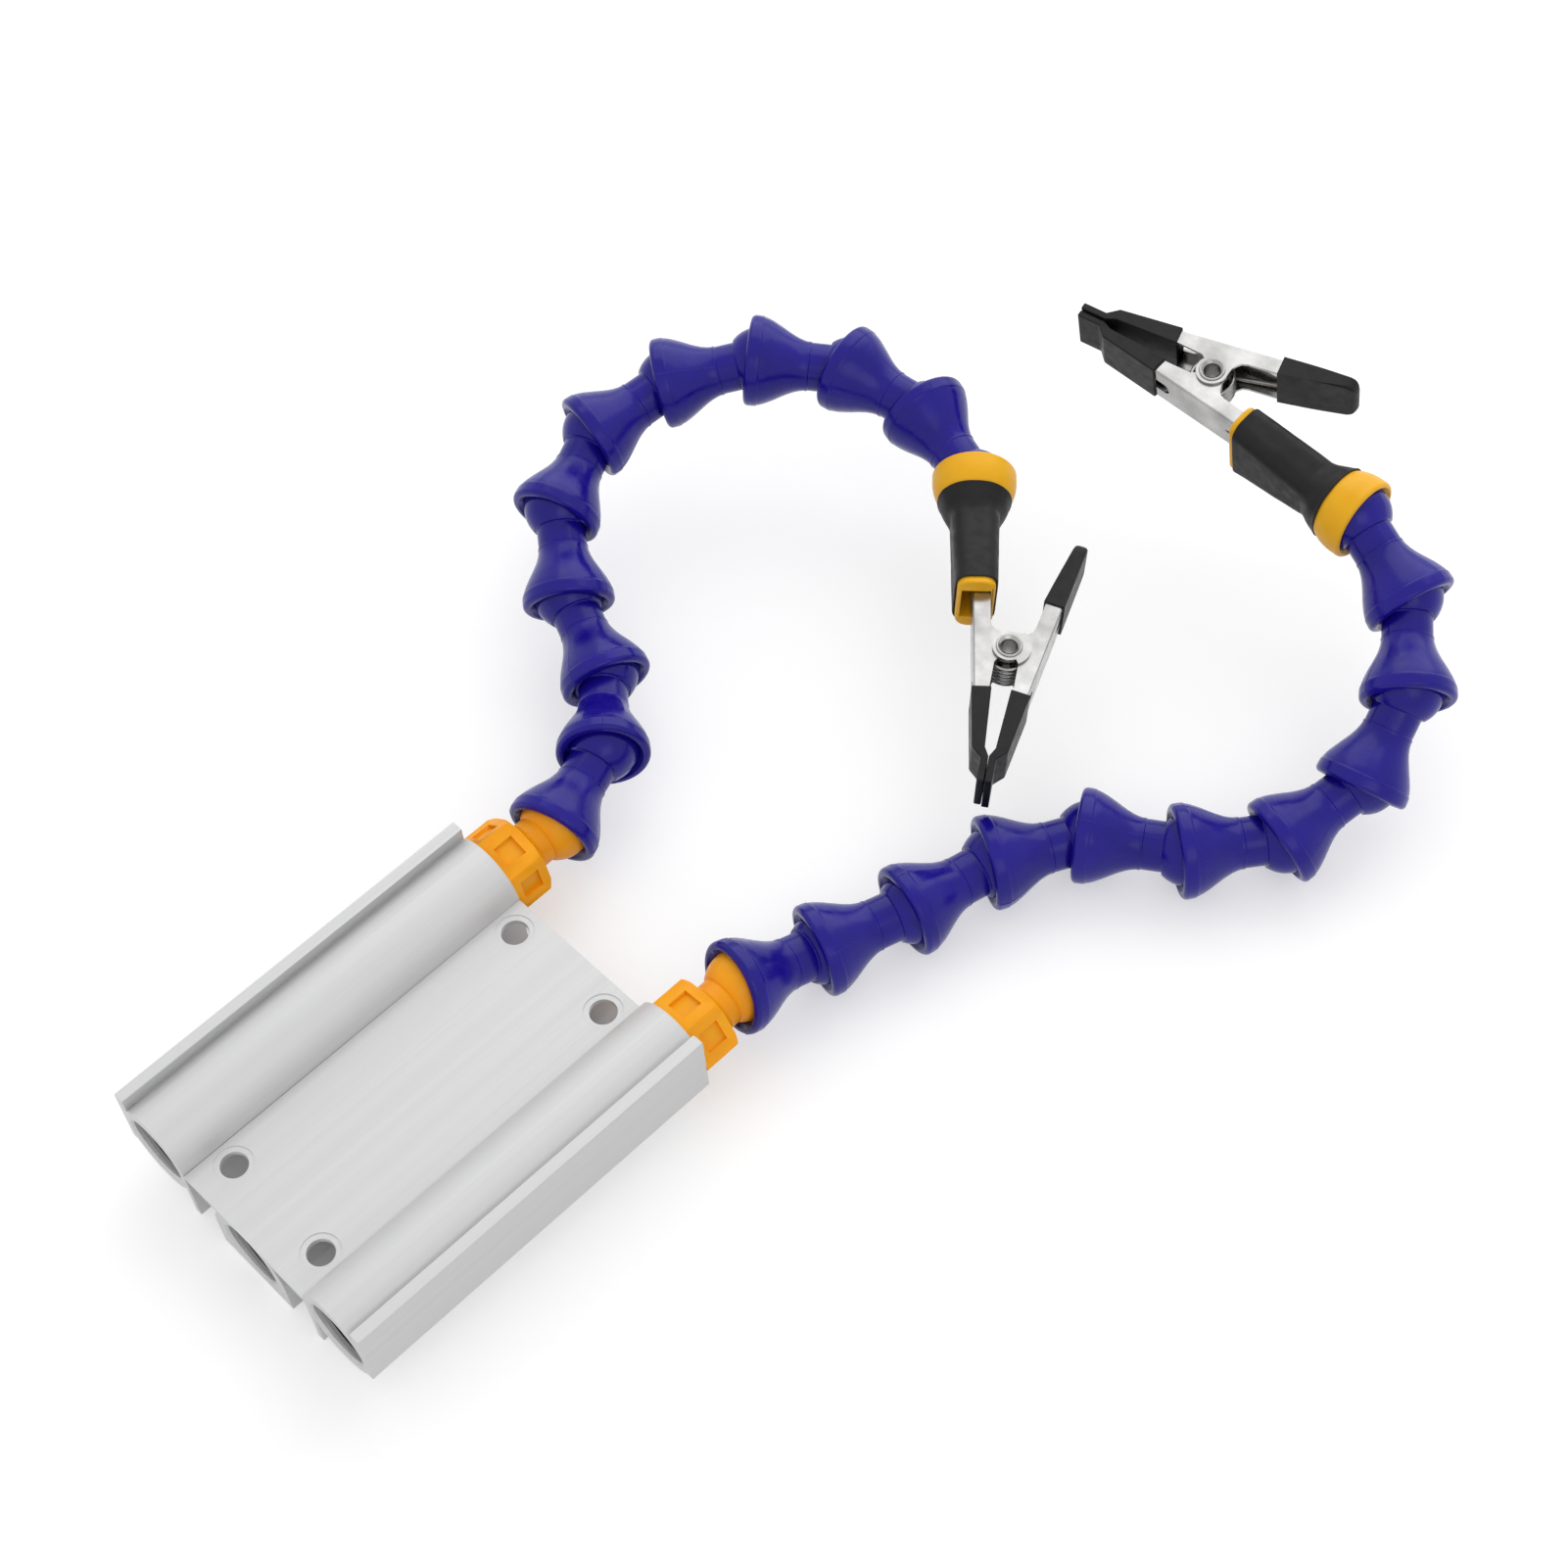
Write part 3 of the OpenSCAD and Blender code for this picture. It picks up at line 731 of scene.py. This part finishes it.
fixed_here = fixed_half_place("left")
moving_here = moving_half_place("left")
fixed_half = sheet_half("clip_fixed_half_left", fixed_here, "fixed_half_master")
moving_half = sheet_half("clip_moving_half_left", moving_here, "moving_half_master")

# %% [markdown]
# The boots are dipped vinyl. They follow the steel under them, so they too
# start as copies, but their corners are much rounder and their skin is
# slightly uneven. The handle's boot ends in a plump tip, so the edge round
# its free end is bevelled first, and wider than the corners along it.

# %% Vinyl boots
JAW_CORNER = 0.3
HANDLE_CORNER = 0.5
HANDLE_TIP = 0.9
# The edges of the tip lie within this distance of the boot's free end.
TIP_LENGTH = 3


def vinyl(node, where, name, corner, tip=0.0):
    """A boot with worn corners. Tip is how far the edge of its free end is rounded."""
    piece = bench_copy(node, where)
    if tip:
        free_end = min(vert.co.x for vert in piece.data.vertices) + TIP_LENGTH
        count = bevel_edges(piece, lambda edge: is_sharp(edge)
                            and all(vert.co.x < free_end for vert in edge.verts), tip, 6)
        print(name, count, "edges round the tip")
    count = bevel_edges(piece, is_sharp, corner, 4)
    print(name, count, "corners")
    return master(smooth(piece, degrees=50), name)


jaw_boot_fixed = vinyl("jaw_boot_fixed_left", fixed_here, "jaw_boot_fixed_master", JAW_CORNER)
jaw_boot_moving = vinyl("jaw_boot_moving_left", moving_here, "jaw_boot_moving_master", JAW_CORNER)
handle_boot = vinyl(
    "handle_boot_left", moving_here, "handle_boot_master", HANDLE_CORNER, HANDLE_TIP)

# %% [markdown]
# A hollow rivet holds the halves together, and its ends are rolled over into
# round lips. It is a turned piece like the links, drawn as half of its
# outline. The other half is that one mirrored, and the whole is then turned
# so that it stands along Z, the axis of the pivot.

# %% Rivet
RIVET_R = 1.9
RIVET_BORE = 1.5
LIP_R = 2.4
LIP_END = 4.7
LIP_ROUND = 0.25


def rivet_end():
    """One end of the outline, from the shank over the lip to the bore."""
    over = arc(LIP_END - LIP_ROUND, LIP_R - LIP_ROUND, LIP_ROUND, 90, -45, 5)
    return [(LIP_END - 0.3, RIVET_R), (LIP_END - 0.3, LIP_R - 0.1)] + over + [
        (LIP_END - 0.05, RIVET_BORE + 0.5), (LIP_END - 0.35, RIVET_BORE + 0.1),
        (LIP_END - 0.8, RIVET_BORE)]


right_end = rivet_end()
left_end = [(-x, r) for x, r in reversed(right_end)]
rivet = turned("rivet", right_end + left_end, steps=48)
rivet.data.transform(Matrix.Rotation(math.pi / 2, 4, "Y"))
master(smooth(rivet, degrees=50), "rivet_master")

# %% [markdown]
# A torsion spring is wound round the rivet. A ring the thickness of the wire
# is carried round the axis by the Screw modifier, and its two ends are then
# extruded straight out into the handles. The legs lie the same way on both
# sides of the clip's middle line, which gives the angle that the coil fills.

# %% Spring
WIRE = 0.9
WIRE_SIDES = 14
COIL_R = 3.8
COIL_TURNS = 4
COIL_PITCH = 1.15
COIL_STEPS = 110
LEG_X = -11
LEG_Y = 5.25
leg_end = Vector((
    LEG_X * math.cos(SPLAY) + LEG_Y * math.sin(SPLAY),
    LEG_X * math.sin(SPLAY) - LEG_Y * math.cos(SPLAY)))
leg_turn = math.atan2(leg_end.y, leg_end.x) + math.acos(COIL_R / leg_end.length)
coil_span = COIL_TURNS * math.tau - 2 * leg_turn
coil_top = COIL_PITCH * coil_span / math.tau / 2


def spring_wire():
    """The whole spring, wound upwards from its lower leg to its upper one."""
    clear_selection()
    bpy.ops.mesh.primitive_circle_add(vertices=WIRE_SIDES, radius=WIRE / 2,
                                      location=(COIL_R, 0, 0), rotation=(math.pi / 2, 0, 0))
    piece = bpy.context.object
    bpy.ops.object.transform_apply(location=True, rotation=True, scale=True)
    piece.data.transform(Matrix.Translation((0, 0, -coil_top))
                         @ Matrix.Rotation(leg_turn, 4, "Z"))
    apply(piece, "SCREW", axis="Z", angle=coil_span, screw_offset=2 * coil_top, iterations=1,
          steps=COIL_STEPS, render_steps=COIL_STEPS, use_merge_vertices=False)
    for end in (-1, 1):
        start = Vector((COIL_R * math.cos(leg_turn), end * -COIL_R * math.sin(leg_turn)))
        open_piece(piece)
        choose(piece, "EDGE", lambda edge: edge.is_boundary
               and all(vert.co.z * end > coil_top - WIRE for vert in edge.verts))
        extrude(leg_end.x - start.x, end * -leg_end.y - start.y)
        bpy.ops.mesh.edge_face_add()
        close_piece(piece)
    return tidy_shell(piece)


whole_spring = spring_wire()
print("coil fills", round(math.degrees(coil_span)), "degrees and is",
      round(2 * coil_top, 2), "mm high")

# %% [markdown]
# The upper leg lies in the moving half, so it turns with that half. The
# spring is therefore cut in two: one copy loses the leg, and the other loses
# all but the leg and a little of the coil. The two overlap along the coil,
# which hides the cut while the clip opens.

# %% Spring in two pieces
# The wire that the leg springs from lies within this distance of the coil's top.
UPPER_TURN = 0.62
# A point at the very end of the coil counts as on it within this many radians.
END_SLACK = 0.02
# Degrees of the coil that the body's piece loses, and that the leg's piece keeps.
LOST_ARC = 8
KEPT_ARC = 50
# The leg's piece lies this much higher, so that no two surfaces lie in one place.
LEG_LIFT = 0.03


def behind_end(vert):
    """Degrees round the axis from the upper end of the coil back to a point."""
    return math.degrees(-leg_turn - math.atan2(vert.co.y, vert.co.x) + END_SLACK) % 360


def is_on_leg(vert, arc_length):
    """On the upper leg, or on the last degrees of the coil that it springs from."""
    if vert.co.z < coil_top - UPPER_TURN:
        return False
    away = math.hypot(vert.co.x, vert.co.y) > COIL_R + 1
    return away and vert.co.y > 0 or not away and behind_end(vert) < arc_length


def cut_spring(name, unwanted):
    """A copy of the spring without some of its wire, and closed where it was cut."""
    piece = whole_spring.copy()
    piece.data = whole_spring.data.copy()
    bpy.context.scene.collection.objects.link(piece)
    open_piece(piece)
    choose(piece, "VERT", unwanted)
    bpy.ops.mesh.delete(type="VERT")
    choose(piece, "EDGE", lambda edge: edge.is_boundary)
    bpy.ops.mesh.edge_face_add()
    close_piece(piece)
    return master(smooth(tidy_shell(piece), degrees=60), name)


spring = cut_spring("spring_master", lambda vert: is_on_leg(vert, LOST_ARC))
spring_leg = cut_spring("spring_leg_master", lambda vert: not is_on_leg(vert, KEPT_ARC))
spring_leg.data.transform(Matrix.Translation((0, 0, LEG_LIFT)))
bpy.data.objects.remove(whole_spring)

# %% [markdown]
# The base is one extrusion, sawn off and drilled. The die has rounded the
# corners that run along it, while the sawn ends are crisp. The screw holes
# were drilled later and their burr was broken, so their upper rims get a
# small bevel.

# %% Base
BASE_HALF = 37
DIE_CORNER = 0.15
SCREW_HOLES = [(x, y) for x in (-11.3, 11.3) for y in (-29.8, 32.1)]
SCREW_R = 2.4
SCREW_RIM = 0.2
# The plate's upper side lies above this, and its lower side below.
UPPER_SIDE = 13


def runs_through(edge):
    """A corner of the section, which runs from one sawn end to the other."""
    a, b = (vert.co for vert in edge.verts)
    return abs(a.y - b.y) > BASE_HALF and is_sharp(edge)


def on_screw_rim(vert):
    nearest = min(math.hypot(vert.co.x - x, vert.co.y - y) for x, y in SCREW_HOLES)
    return vert.co.z > UPPER_SIDE and nearest < SCREW_R + 0.05


def is_screw_rim(edge):
    return is_sharp(edge) and all(on_screw_rim(vert) for vert in edge.verts)


base = bench_copy("base_extrusion", BENCH_TO_FRAME, flatten=False)
corners = bevel_edges(base, runs_through, DIE_CORNER, 3)
rims = bevel_edges(base, is_screw_rim, SCREW_RIM, 2)
print("base has", corners, "corners along it and", rims, "edges round its screw holes")
master(smooth(base, degrees=25), "base_master")

# %% [markdown]
# The bores are tapped. A small tooth, drawn as three extruded edges, is
# carried round each bore's axis by the Screw modifier, once for each turn.
# The tooth's foot is sunk a little into the wall, so no gap shows.

# %% Threads in the bores
BORE_R = 6.15
BORES = {"left": (-23.6, 12.5), "middle": (0, 7.3), "right": (23.6, 12.5)}
# The outer two are tapped as far as the connectors' shanks leave them in sight.
OUTER_THREAD_END = 28
THREAD_MARGIN = 0.5
THREAD_DEPTH = 0.42
THREAD_SINK = 0.03
TOOTH_FLANK = 0.5
TOOTH_CREST = 0.16


def thread(name, x, z, start, end):
    """A ridge that winds along a bore from start to end."""
    piece = one_point(name, BORE_R + THREAD_SINK, start)
    for step in ((-THREAD_DEPTH, TOOTH_FLANK), (0, TOOTH_CREST), (THREAD_DEPTH, TOOTH_FLANK)):
        extrude(*step)
    close_piece(piece)
    turns = int((end - start - 2 * TOOTH_FLANK - TOOTH_CREST) / THREAD_PITCH)
    apply(piece, "SCREW", axis="Y", angle=math.tau, screw_offset=THREAD_PITCH,
          iterations=turns, steps=40, render_steps=40, use_merge_vertices=True,
          use_normal_calculate=True)
    piece.data.transform(Matrix.Translation((x, 0, z)))
    open_piece(piece)
    bpy.ops.mesh.select_all(action="SELECT")
    bpy.ops.mesh.normals_make_consistent(inside=True)
    close_piece(piece)
    print(name, turns, "turns")
    return master(smooth(piece, degrees=60), name)


threads = {}
for bore, (x, z) in BORES.items():
    end = BASE_HALF - THREAD_MARGIN if bore == "middle" else OUTER_THREAD_END
    threads[bore] = thread(f"thread_{bore}_master", x, z, THREAD_MARGIN - BASE_HALF, end)

# %% [markdown]
# Now the finishes. Every one is worked out from the piece's own coordinates,
# in metres, so it stays on the piece when a joint moves. What varies is small
# and slow, as it is on a moulding or an extrusion: a noise pattern shifts the
# colour a little, another the roughness, and others make the surface uneven.

# %% Material helpers
MICRON = 1e-6
# A noise pattern keeps mostly between these two values.
NOISE_RANGE = (0.3, 0.7)


class Finish:
    """A material with its nodes at hand."""

    def __init__(self, name, metallic=0.0, gloss=0.5):
        self.material = bpy.data.materials.new(name)
        self.material.use_nodes = True
        self.nodes = self.material.node_tree.nodes
        self.links = self.material.node_tree.links
        self.shader = self.nodes["Principled BSDF"]
        self.shader.inputs["Metallic"].default_value = metallic
        self.shader.inputs["Specular IOR Level"].default_value = gloss
        self.place = self.nodes.new("ShaderNodeTexCoord").outputs["Object"]

    def noise(self, scale, detail, stretch=None):
        """A noise pattern. Scale is in features a metre, and stretch is per axis."""
        place = self.place
        if stretch:
            mapping = self.nodes.new("ShaderNodeMapping")
            mapping.inputs["Scale"].default_value = stretch
            self.links.new(place, mapping.inputs["Vector"])
            place = mapping.outputs["Vector"]
        node = self.nodes.new("ShaderNodeTexNoise")
        node.inputs["Scale"].default_value = scale
        node.inputs["Detail"].default_value = detail
        self.links.new(place, node.inputs["Vector"])
        return node.outputs["Fac"]

    def one_colour(self, colour):
        self.shader.inputs["Base Color"].default_value = (*colour, 1)

    def two_colours(self, pattern, *stops):
        """Goes from one colour to another by two (value of the pattern, colour) stops."""
        node = self.nodes.new("ShaderNodeValToRGB")
        for element, (position, colour) in zip(node.color_ramp.elements, stops):
            element.position = position
            element.color = (*colour, 1)
        self.links.new(pattern, node.inputs["Fac"])
        self.links.new(node.outputs["Color"], self.shader.inputs["Base Color"])

    def roughness(self, pattern, low, high):
        """Lets the pattern move the roughness between low and high."""
        node = self.nodes.new("ShaderNodeMapRange")
        node.inputs["From Min"].default_value = NOISE_RANGE[0]
        node.inputs["From Max"].default_value = NOISE_RANGE[1]
        node.inputs["To Min"].default_value = low
        node.inputs["To Max"].default_value = high
        self.links.new(pattern, node.inputs["Value"])
        self.links.new(node.outputs["Result"], self.shader.inputs["Roughness"])

    def bump(self, *layers):
        """Stacks (pattern, depth in microns) layers into the shader's normal."""
        normal = None
        for pattern, depth in layers:
            node = self.nodes.new("ShaderNodeBump")
            node.inputs["Strength"].default_value = 1
            node.inputs["Distance"].default_value = depth * MICRON
            self.links.new(pattern, node.inputs["Height"])
            if normal:
                self.links.new(normal, node.inputs["Normal"])
            normal = node.outputs["Normal"]
        self.links.new(normal, self.shader.inputs["Normal"])


# %% [markdown]
# The metals differ in how bright and how rough they are. The extrusion is etched and anodised, so
# it is only half a metal to the light. The freshly cut threads, the nickel plating and the spring's
# wire are bare metal. The threads' dark colour is painted shade, and the clouds in the plating's
# colour are painted reflection.

# %% Metal finishes


def satin_anodised():
    """Etched and anodised aluminium: even silver, with faint drawing lines."""
    finish = Finish("satin_anodised_aluminium", metallic=0.45)
    lines = finish.noise(1, 3, stretch=(2600, 14, 2600))
    streaks = finish.noise(1, 4, stretch=(620, 4, 620))
    finish.two_colours(streaks, (0.3, (0.61, 0.611, 0.614)), (0.7, (0.64, 0.64, 0.642)))
    finish.roughness(lines, 0.44, 0.6)
    finish.bump((streaks, 16), (lines, 30), (finish.noise(9000, 2), 10))
    return finish.material


def thread_in_painted_shade():
    """Freshly cut aluminium in the tapped bores, its colour darkened to a painted shade of the deep
    bore.
    """
    finish = Finish("tapped_aluminium_painted_shade", metallic=1.0)
    # The dark grey is painted shade: cut aluminium is bright, and this stands in for the shade
    # inside the bores.
    finish.one_colour((0.2, 0.2, 0.205))
    finish.roughness(finish.noise(3000, 3), 0.3, 0.5)
    finish.bump((finish.noise(6000, 2), 10))
    return finish.material


def nickel_plate():
    """Bright plating over rolled sheet, with fine lines, and soft darker clouds in its colour that
    are a painted reflection of an uneven room.
    """
    finish = Finish("nickel_plated_sheet", metallic=1.0)
    painted_reflection_clouds = finish.noise(150, 4)
    # The clouds in the colour are painted reflection: darker patches that stand in for an uneven
    # room mirrored in the plating.
    finish.two_colours(painted_reflection_clouds, (0.32, (0.3, 0.297, 0.293)), (0.68, (0.47, 0.467, 0.462)))
    finish.roughness(finish.noise(420, 5), 0.16, 0.34)
    finish.bump((finish.noise(150, 3), 30), (finish.noise(5000, 2), 3))
    return finish.material


def bright_wire():
    """Drawn spring wire, a little duller than the plating."""
    finish = Finish("bright_spring_wire", metallic=1.0)
    finish.one_colour((0.34, 0.335, 0.33))
    finish.roughness(finish.noise(2000, 3), 0.22, 0.4)
    finish.bump((finish.noise(4000, 2), 6))
    return finish.material


aluminium = satin_anodised()
tapped = thread_in_painted_shade()
nickel = nickel_plate()
wire = bright_wire()
print("metals", [finish.name for finish in (aluminium, tapped, nickel, wire)])

# %% [markdown]
# The hard plastics are mouldings, so their gloss shows the slow waves of a
# thick wall that shrank as it cooled. Light enters the amber ones a little.
# The heat-shrink tube and the dipped vinyl are soft and dull black, slightly
# paler where they have been handled.

# %% Plastic finishes


def glossy_blue():
    """Deep blue acetal with the slight waves of a thick moulding."""
    finish = Finish("glossy_blue_acetal", gloss=0.26)
    shade = finish.noise(140, 3)
    finish.two_colours(shade, (0.25, (0.007, 0.003, 0.2)), (0.75, (0.012, 0.005, 0.27)))
    finish.roughness(finish.noise(500, 4), 0.16, 0.3)
    finish.bump((finish.noise(180, 2), 60), (finish.noise(2400, 3), 4))
    return finish.material


def amber_acetal(name, light, dark):
    """Acetal that light enters for less than a millimetre before it comes out again."""
    finish = Finish(name, gloss=0.24)
    finish.two_colours(finish.noise(170, 3), (0.25, dark), (0.75, light))
    finish.roughness(finish.noise(700, 4), 0.3, 0.45)
    finish.shader.inputs["Subsurface Weight"].default_value = 0.12
    finish.shader.inputs["Subsurface Radius"].default_value = (1, 0.5, 0.1)
    finish.shader.inputs["Subsurface Scale"].default_value = 0.0008
    finish.bump((finish.noise(220, 2), 50), (finish.noise(2600, 3), 6))
    return finish.material


def dull_black(name, colour, roughness, grain):
    """Soft black skin, a little lighter where it has been handled."""
    finish = Finish(name, gloss=0.22)
    worn = tuple(1.5 * part for part in colour)
    finish.two_colours(finish.noise(220, 4), (0.35, colour), (0.75, worn))
    finish.roughness(finish.noise(600, 4), roughness - 0.08, roughness + 0.1)
    finish.bump((finish.noise(260, 3), 50), (finish.noise(grain, 3), 10))
    return finish.material


blue = glossy_blue()
amber = amber_acetal("amber_acetal", (0.97, 0.41, 0.007), (0.92, 0.345, 0.005))
yellow = amber_acetal("yellow_acetal", (0.9, 0.475, 0.012), (0.82, 0.405, 0.008))
sleeve_black = dull_black("heat_shrink_skin", (0.009, 0.009, 0.009), 0.5, 3000)
vinyl_black = dull_black("dipped_vinyl", (0.006, 0.006, 0.006), 0.42, 4500)
print("plastics", [finish.name for finish in (blue, amber, yellow, sleeve_black, vinyl_black)])

# %% [markdown]
# Everything is modelled, so the copies go to their places. Each link is
# turned about its own axis by a different amount, because nobody lines up
# the parting lines when the arm is snapped together.

# %% How an arm goes together
HEX_TURNS = {"left": 18, "right": -6}
LINK_TURNS = (10, 95, 40, 150, 70, 20, 120, 60, 170, 85)
FURTHER_TURN = {"left": 0, "right": 35}


def assemble_arm(side):
    put(connector, f"connector_{side}_moulding", connector_place(side, HEX_TURNS[side]), "base",
        f"connector_{side}", amber)
    for number, turn in enumerate(LINK_TURNS, 1):
        spin = Matrix.Rotation(math.radians(turn + FURTHER_TURN[side]), 4, "X")
        node = f"link_{side}_{number:02d}"
        put(link, f"{node}_moulding", link_place(side, number) @ spin, node, node,
            blue)
    body = f"end_{side}"
    put(cup, f"cup_{side}_moulding", cup_place(side), body, f"end_cup_{side}",
        yellow)
    put(sleeve, f"sleeve_{side}_tube", cup_place(side), body, f"heat_shrink_sleeve_{side}",
        sleeve_black)


# %% [markdown]
# A clip is in two bodies. The cup's body holds the fixed half, the rivet and
# most of the spring, and the jaw's body holds the moving half, its two boots
# and the spring's leg. When both arms and clips are placed, the base and its
# threads follow, and the masters are no longer needed.

# %% Clips, base and threads


def assemble_clip(side):
    body = f"end_{side}"
    jaw = f"jaw_{side}"
    fixed = fixed_half_place(side)
    moving = moving_half_place(side)
    middle = clip_middle_place(side)
    put(fixed_half, f"fixed_half_{side}_sheet", fixed, body, f"clip_fixed_half_{side}",
        nickel)
    put(rivet, f"rivet_{side}_rolled", fixed, body, f"clip_rivet_{side}", nickel)
    put(spring, f"spring_{side}_wire", middle, body, f"clip_spring_{side}", wire)
    put(spring_leg, f"spring_{side}_leg", middle, jaw, None, wire)
    put(jaw_boot_fixed, f"jaw_boot_fixed_{side}_skin", fixed, body, f"jaw_boot_fixed_{side}",
        vinyl_black)
    put(moving_half, f"moving_half_{side}_sheet", moving, jaw, f"clip_moving_half_{side}",
        nickel)
    put(jaw_boot_moving, f"jaw_boot_moving_{side}_skin", moving, jaw, f"jaw_boot_moving_{side}",
        vinyl_black)
    put(handle_boot, f"handle_boot_{side}_skin", moving, jaw, f"handle_boot_{side}",
        vinyl_black)


for side in SIDES:
    assemble_arm(side)
    assemble_clip(side)
put(base, "extrusion_body", BENCH_TO_FRAME, "base", "base_extrusion",
    aluminium)
for bore in BORES:
    put(threads[bore], f"thread_{bore}_bore", BENCH_TO_FRAME, "base", None,
        tapped)
for piece in masters:
    bpy.data.objects.remove(piece)

# %% [markdown]
# The floor is plain and pale. It keeps the object's shadow, and part of its
# white is a glow that only the camera and mirrors see, so it reads as a white
# sheet without more light falling on the object.

# %% Floor
WHITE = (1, 1, 1, 1)
FLOOR_SIZE = 6
FLOOR_DROP = 0.0002
FLOOR_GREY = 0.68
FLOOR_GLOW = 0.42


def only_seen(nodes, links):
    """1 for the rays that see the background: camera, glossy and transmission."""
    path = nodes.new("ShaderNodeLightPath")
    total = path.outputs["Is Camera Ray"]
    for name in ("Is Glossy Ray", "Is Transmission Ray"):
        node = nodes.new("ShaderNodeMath")
        node.operation = "MAXIMUM"
        links.new(total, node.inputs[0])
        links.new(path.outputs[name], node.inputs[1])
        total = node.outputs["Value"]
    return total


def make_floor():
    clear_selection()
    bpy.ops.mesh.primitive_plane_add(size=FLOOR_SIZE, location=(0, 0, -FLOOR_DROP))
    floor = bpy.context.object
    floor.name = "floor"
    material = bpy.data.materials.new("pale_floor")
    material.use_nodes = True
    nodes, links = material.node_tree.nodes, material.node_tree.links
    shader = nodes["Principled BSDF"]
    shader.inputs["Base Color"].default_value = (FLOOR_GREY, FLOOR_GREY, FLOOR_GREY, 1)
    shader.inputs["Roughness"].default_value = 1
    shader.inputs["Specular IOR Level"].default_value = 0
    glow = nodes.new("ShaderNodeEmission")
    glow.inputs["Color"].default_value = WHITE
    glow.inputs["Strength"].default_value = FLOOR_GLOW
    add = nodes.new("ShaderNodeAddShader")
    mix = nodes.new("ShaderNodeMixShader")
    links.new(shader.outputs["BSDF"], add.inputs[0])
    links.new(glow.outputs["Emission"], add.inputs[1])
    links.new(only_seen(nodes, links), mix.inputs["Fac"])
    links.new(shader.outputs["BSDF"], mix.inputs[1])
    links.new(add.outputs["Shader"], mix.inputs[2])
    links.new(mix.outputs["Shader"], nodes["Material Output"].inputs["Surface"])
    floor.data.materials.append(material)
    clear_selection()


make_floor()
print("floor", FLOOR_SIZE, "m across")

# %% [markdown]
# The world does the same behind the floor. It is full white to the rays that
# see it, so the metal has something white to mirror, and a little dimmer as
# a light.

# %% World
WORLD_LIGHT = 0.78


def make_world():
    world = bpy.data.worlds.new("white_studio")
    bpy.context.scene.world = world
    world.use_nodes = True
    nodes, links = world.node_tree.nodes, world.node_tree.links
    soft = nodes["Background"]
    soft.inputs["Color"].default_value = WHITE
    soft.inputs["Strength"].default_value = WORLD_LIGHT
    seen = nodes.new("ShaderNodeBackground")
    seen.inputs["Color"].default_value = WHITE
    seen.inputs["Strength"].default_value = 1
    mix = nodes.new("ShaderNodeMixShader")
    links.new(only_seen(nodes, links), mix.inputs["Fac"])
    links.new(soft.outputs["Background"], mix.inputs[1])
    links.new(seen.outputs["Background"], mix.inputs[2])
    links.new(mix.outputs["Shader"], nodes["World Output"].inputs["Surface"])


make_world()
print("world light", WORLD_LIGHT)

# %% [markdown]
# Most of the light is soft and comes from all round. A large soft box behind
# the arms gives the links their broad highlights, and a weak one on the
# camera's side lifts the nearer walls.

# %% Lamps
LAMPS_AIM = Vector((0.02, 0.08, 0))


def soft_box(name, location, size, power):
    clear_selection()
    bpy.ops.object.light_add(type="AREA", location=location)
    lamp = bpy.context.object
    lamp.name = name
    lamp.data.shape = "RECTANGLE"
    lamp.data.size, lamp.data.size_y = size
    lamp.data.energy = power
    aim = LAMPS_AIM - lamp.location
    lamp.rotation_euler = aim.to_track_quat("-Z", "Y").to_euler()
    clear_selection()
    print(name, power, "W")


soft_box("key_box", (-0.35, 0.75, 0.65), (1.2, 0.95), 4)
soft_box("fill_box", (0.7, -0.2, 0.7), (0.6, 0.5), 0.8)

# %% [markdown]
# The camera stands to the right of the base's free end and looks down on the
# whole object. Its lens is fairly long, which keeps the perspective gentle,
# so the clip that is farther away doesn't look much smaller.

# %% Camera
CAMERA_AT = (0.2358, -0.1087, 0.4628)
CAMERA_TURN = (34.09, 3.23, 45.74)
LENS = 70.7
SENSOR = 36
NEAREST = 0.01


def make_camera():
    data = bpy.data.cameras.new("camera")
    data.lens = LENS
    data.sensor_width = SENSOR
    data.clip_start = NEAREST
    camera = bpy.data.objects.new("camera", data)
    bpy.context.scene.collection.objects.link(camera)
    camera.location = CAMERA_AT
    camera.rotation_euler = [math.radians(angle) for angle in CAMERA_TURN]
    bpy.context.scene.camera = camera


make_camera()
print("camera at", CAMERA_AT)
bpy.context.scene.view_settings.view_transform = "Standard"
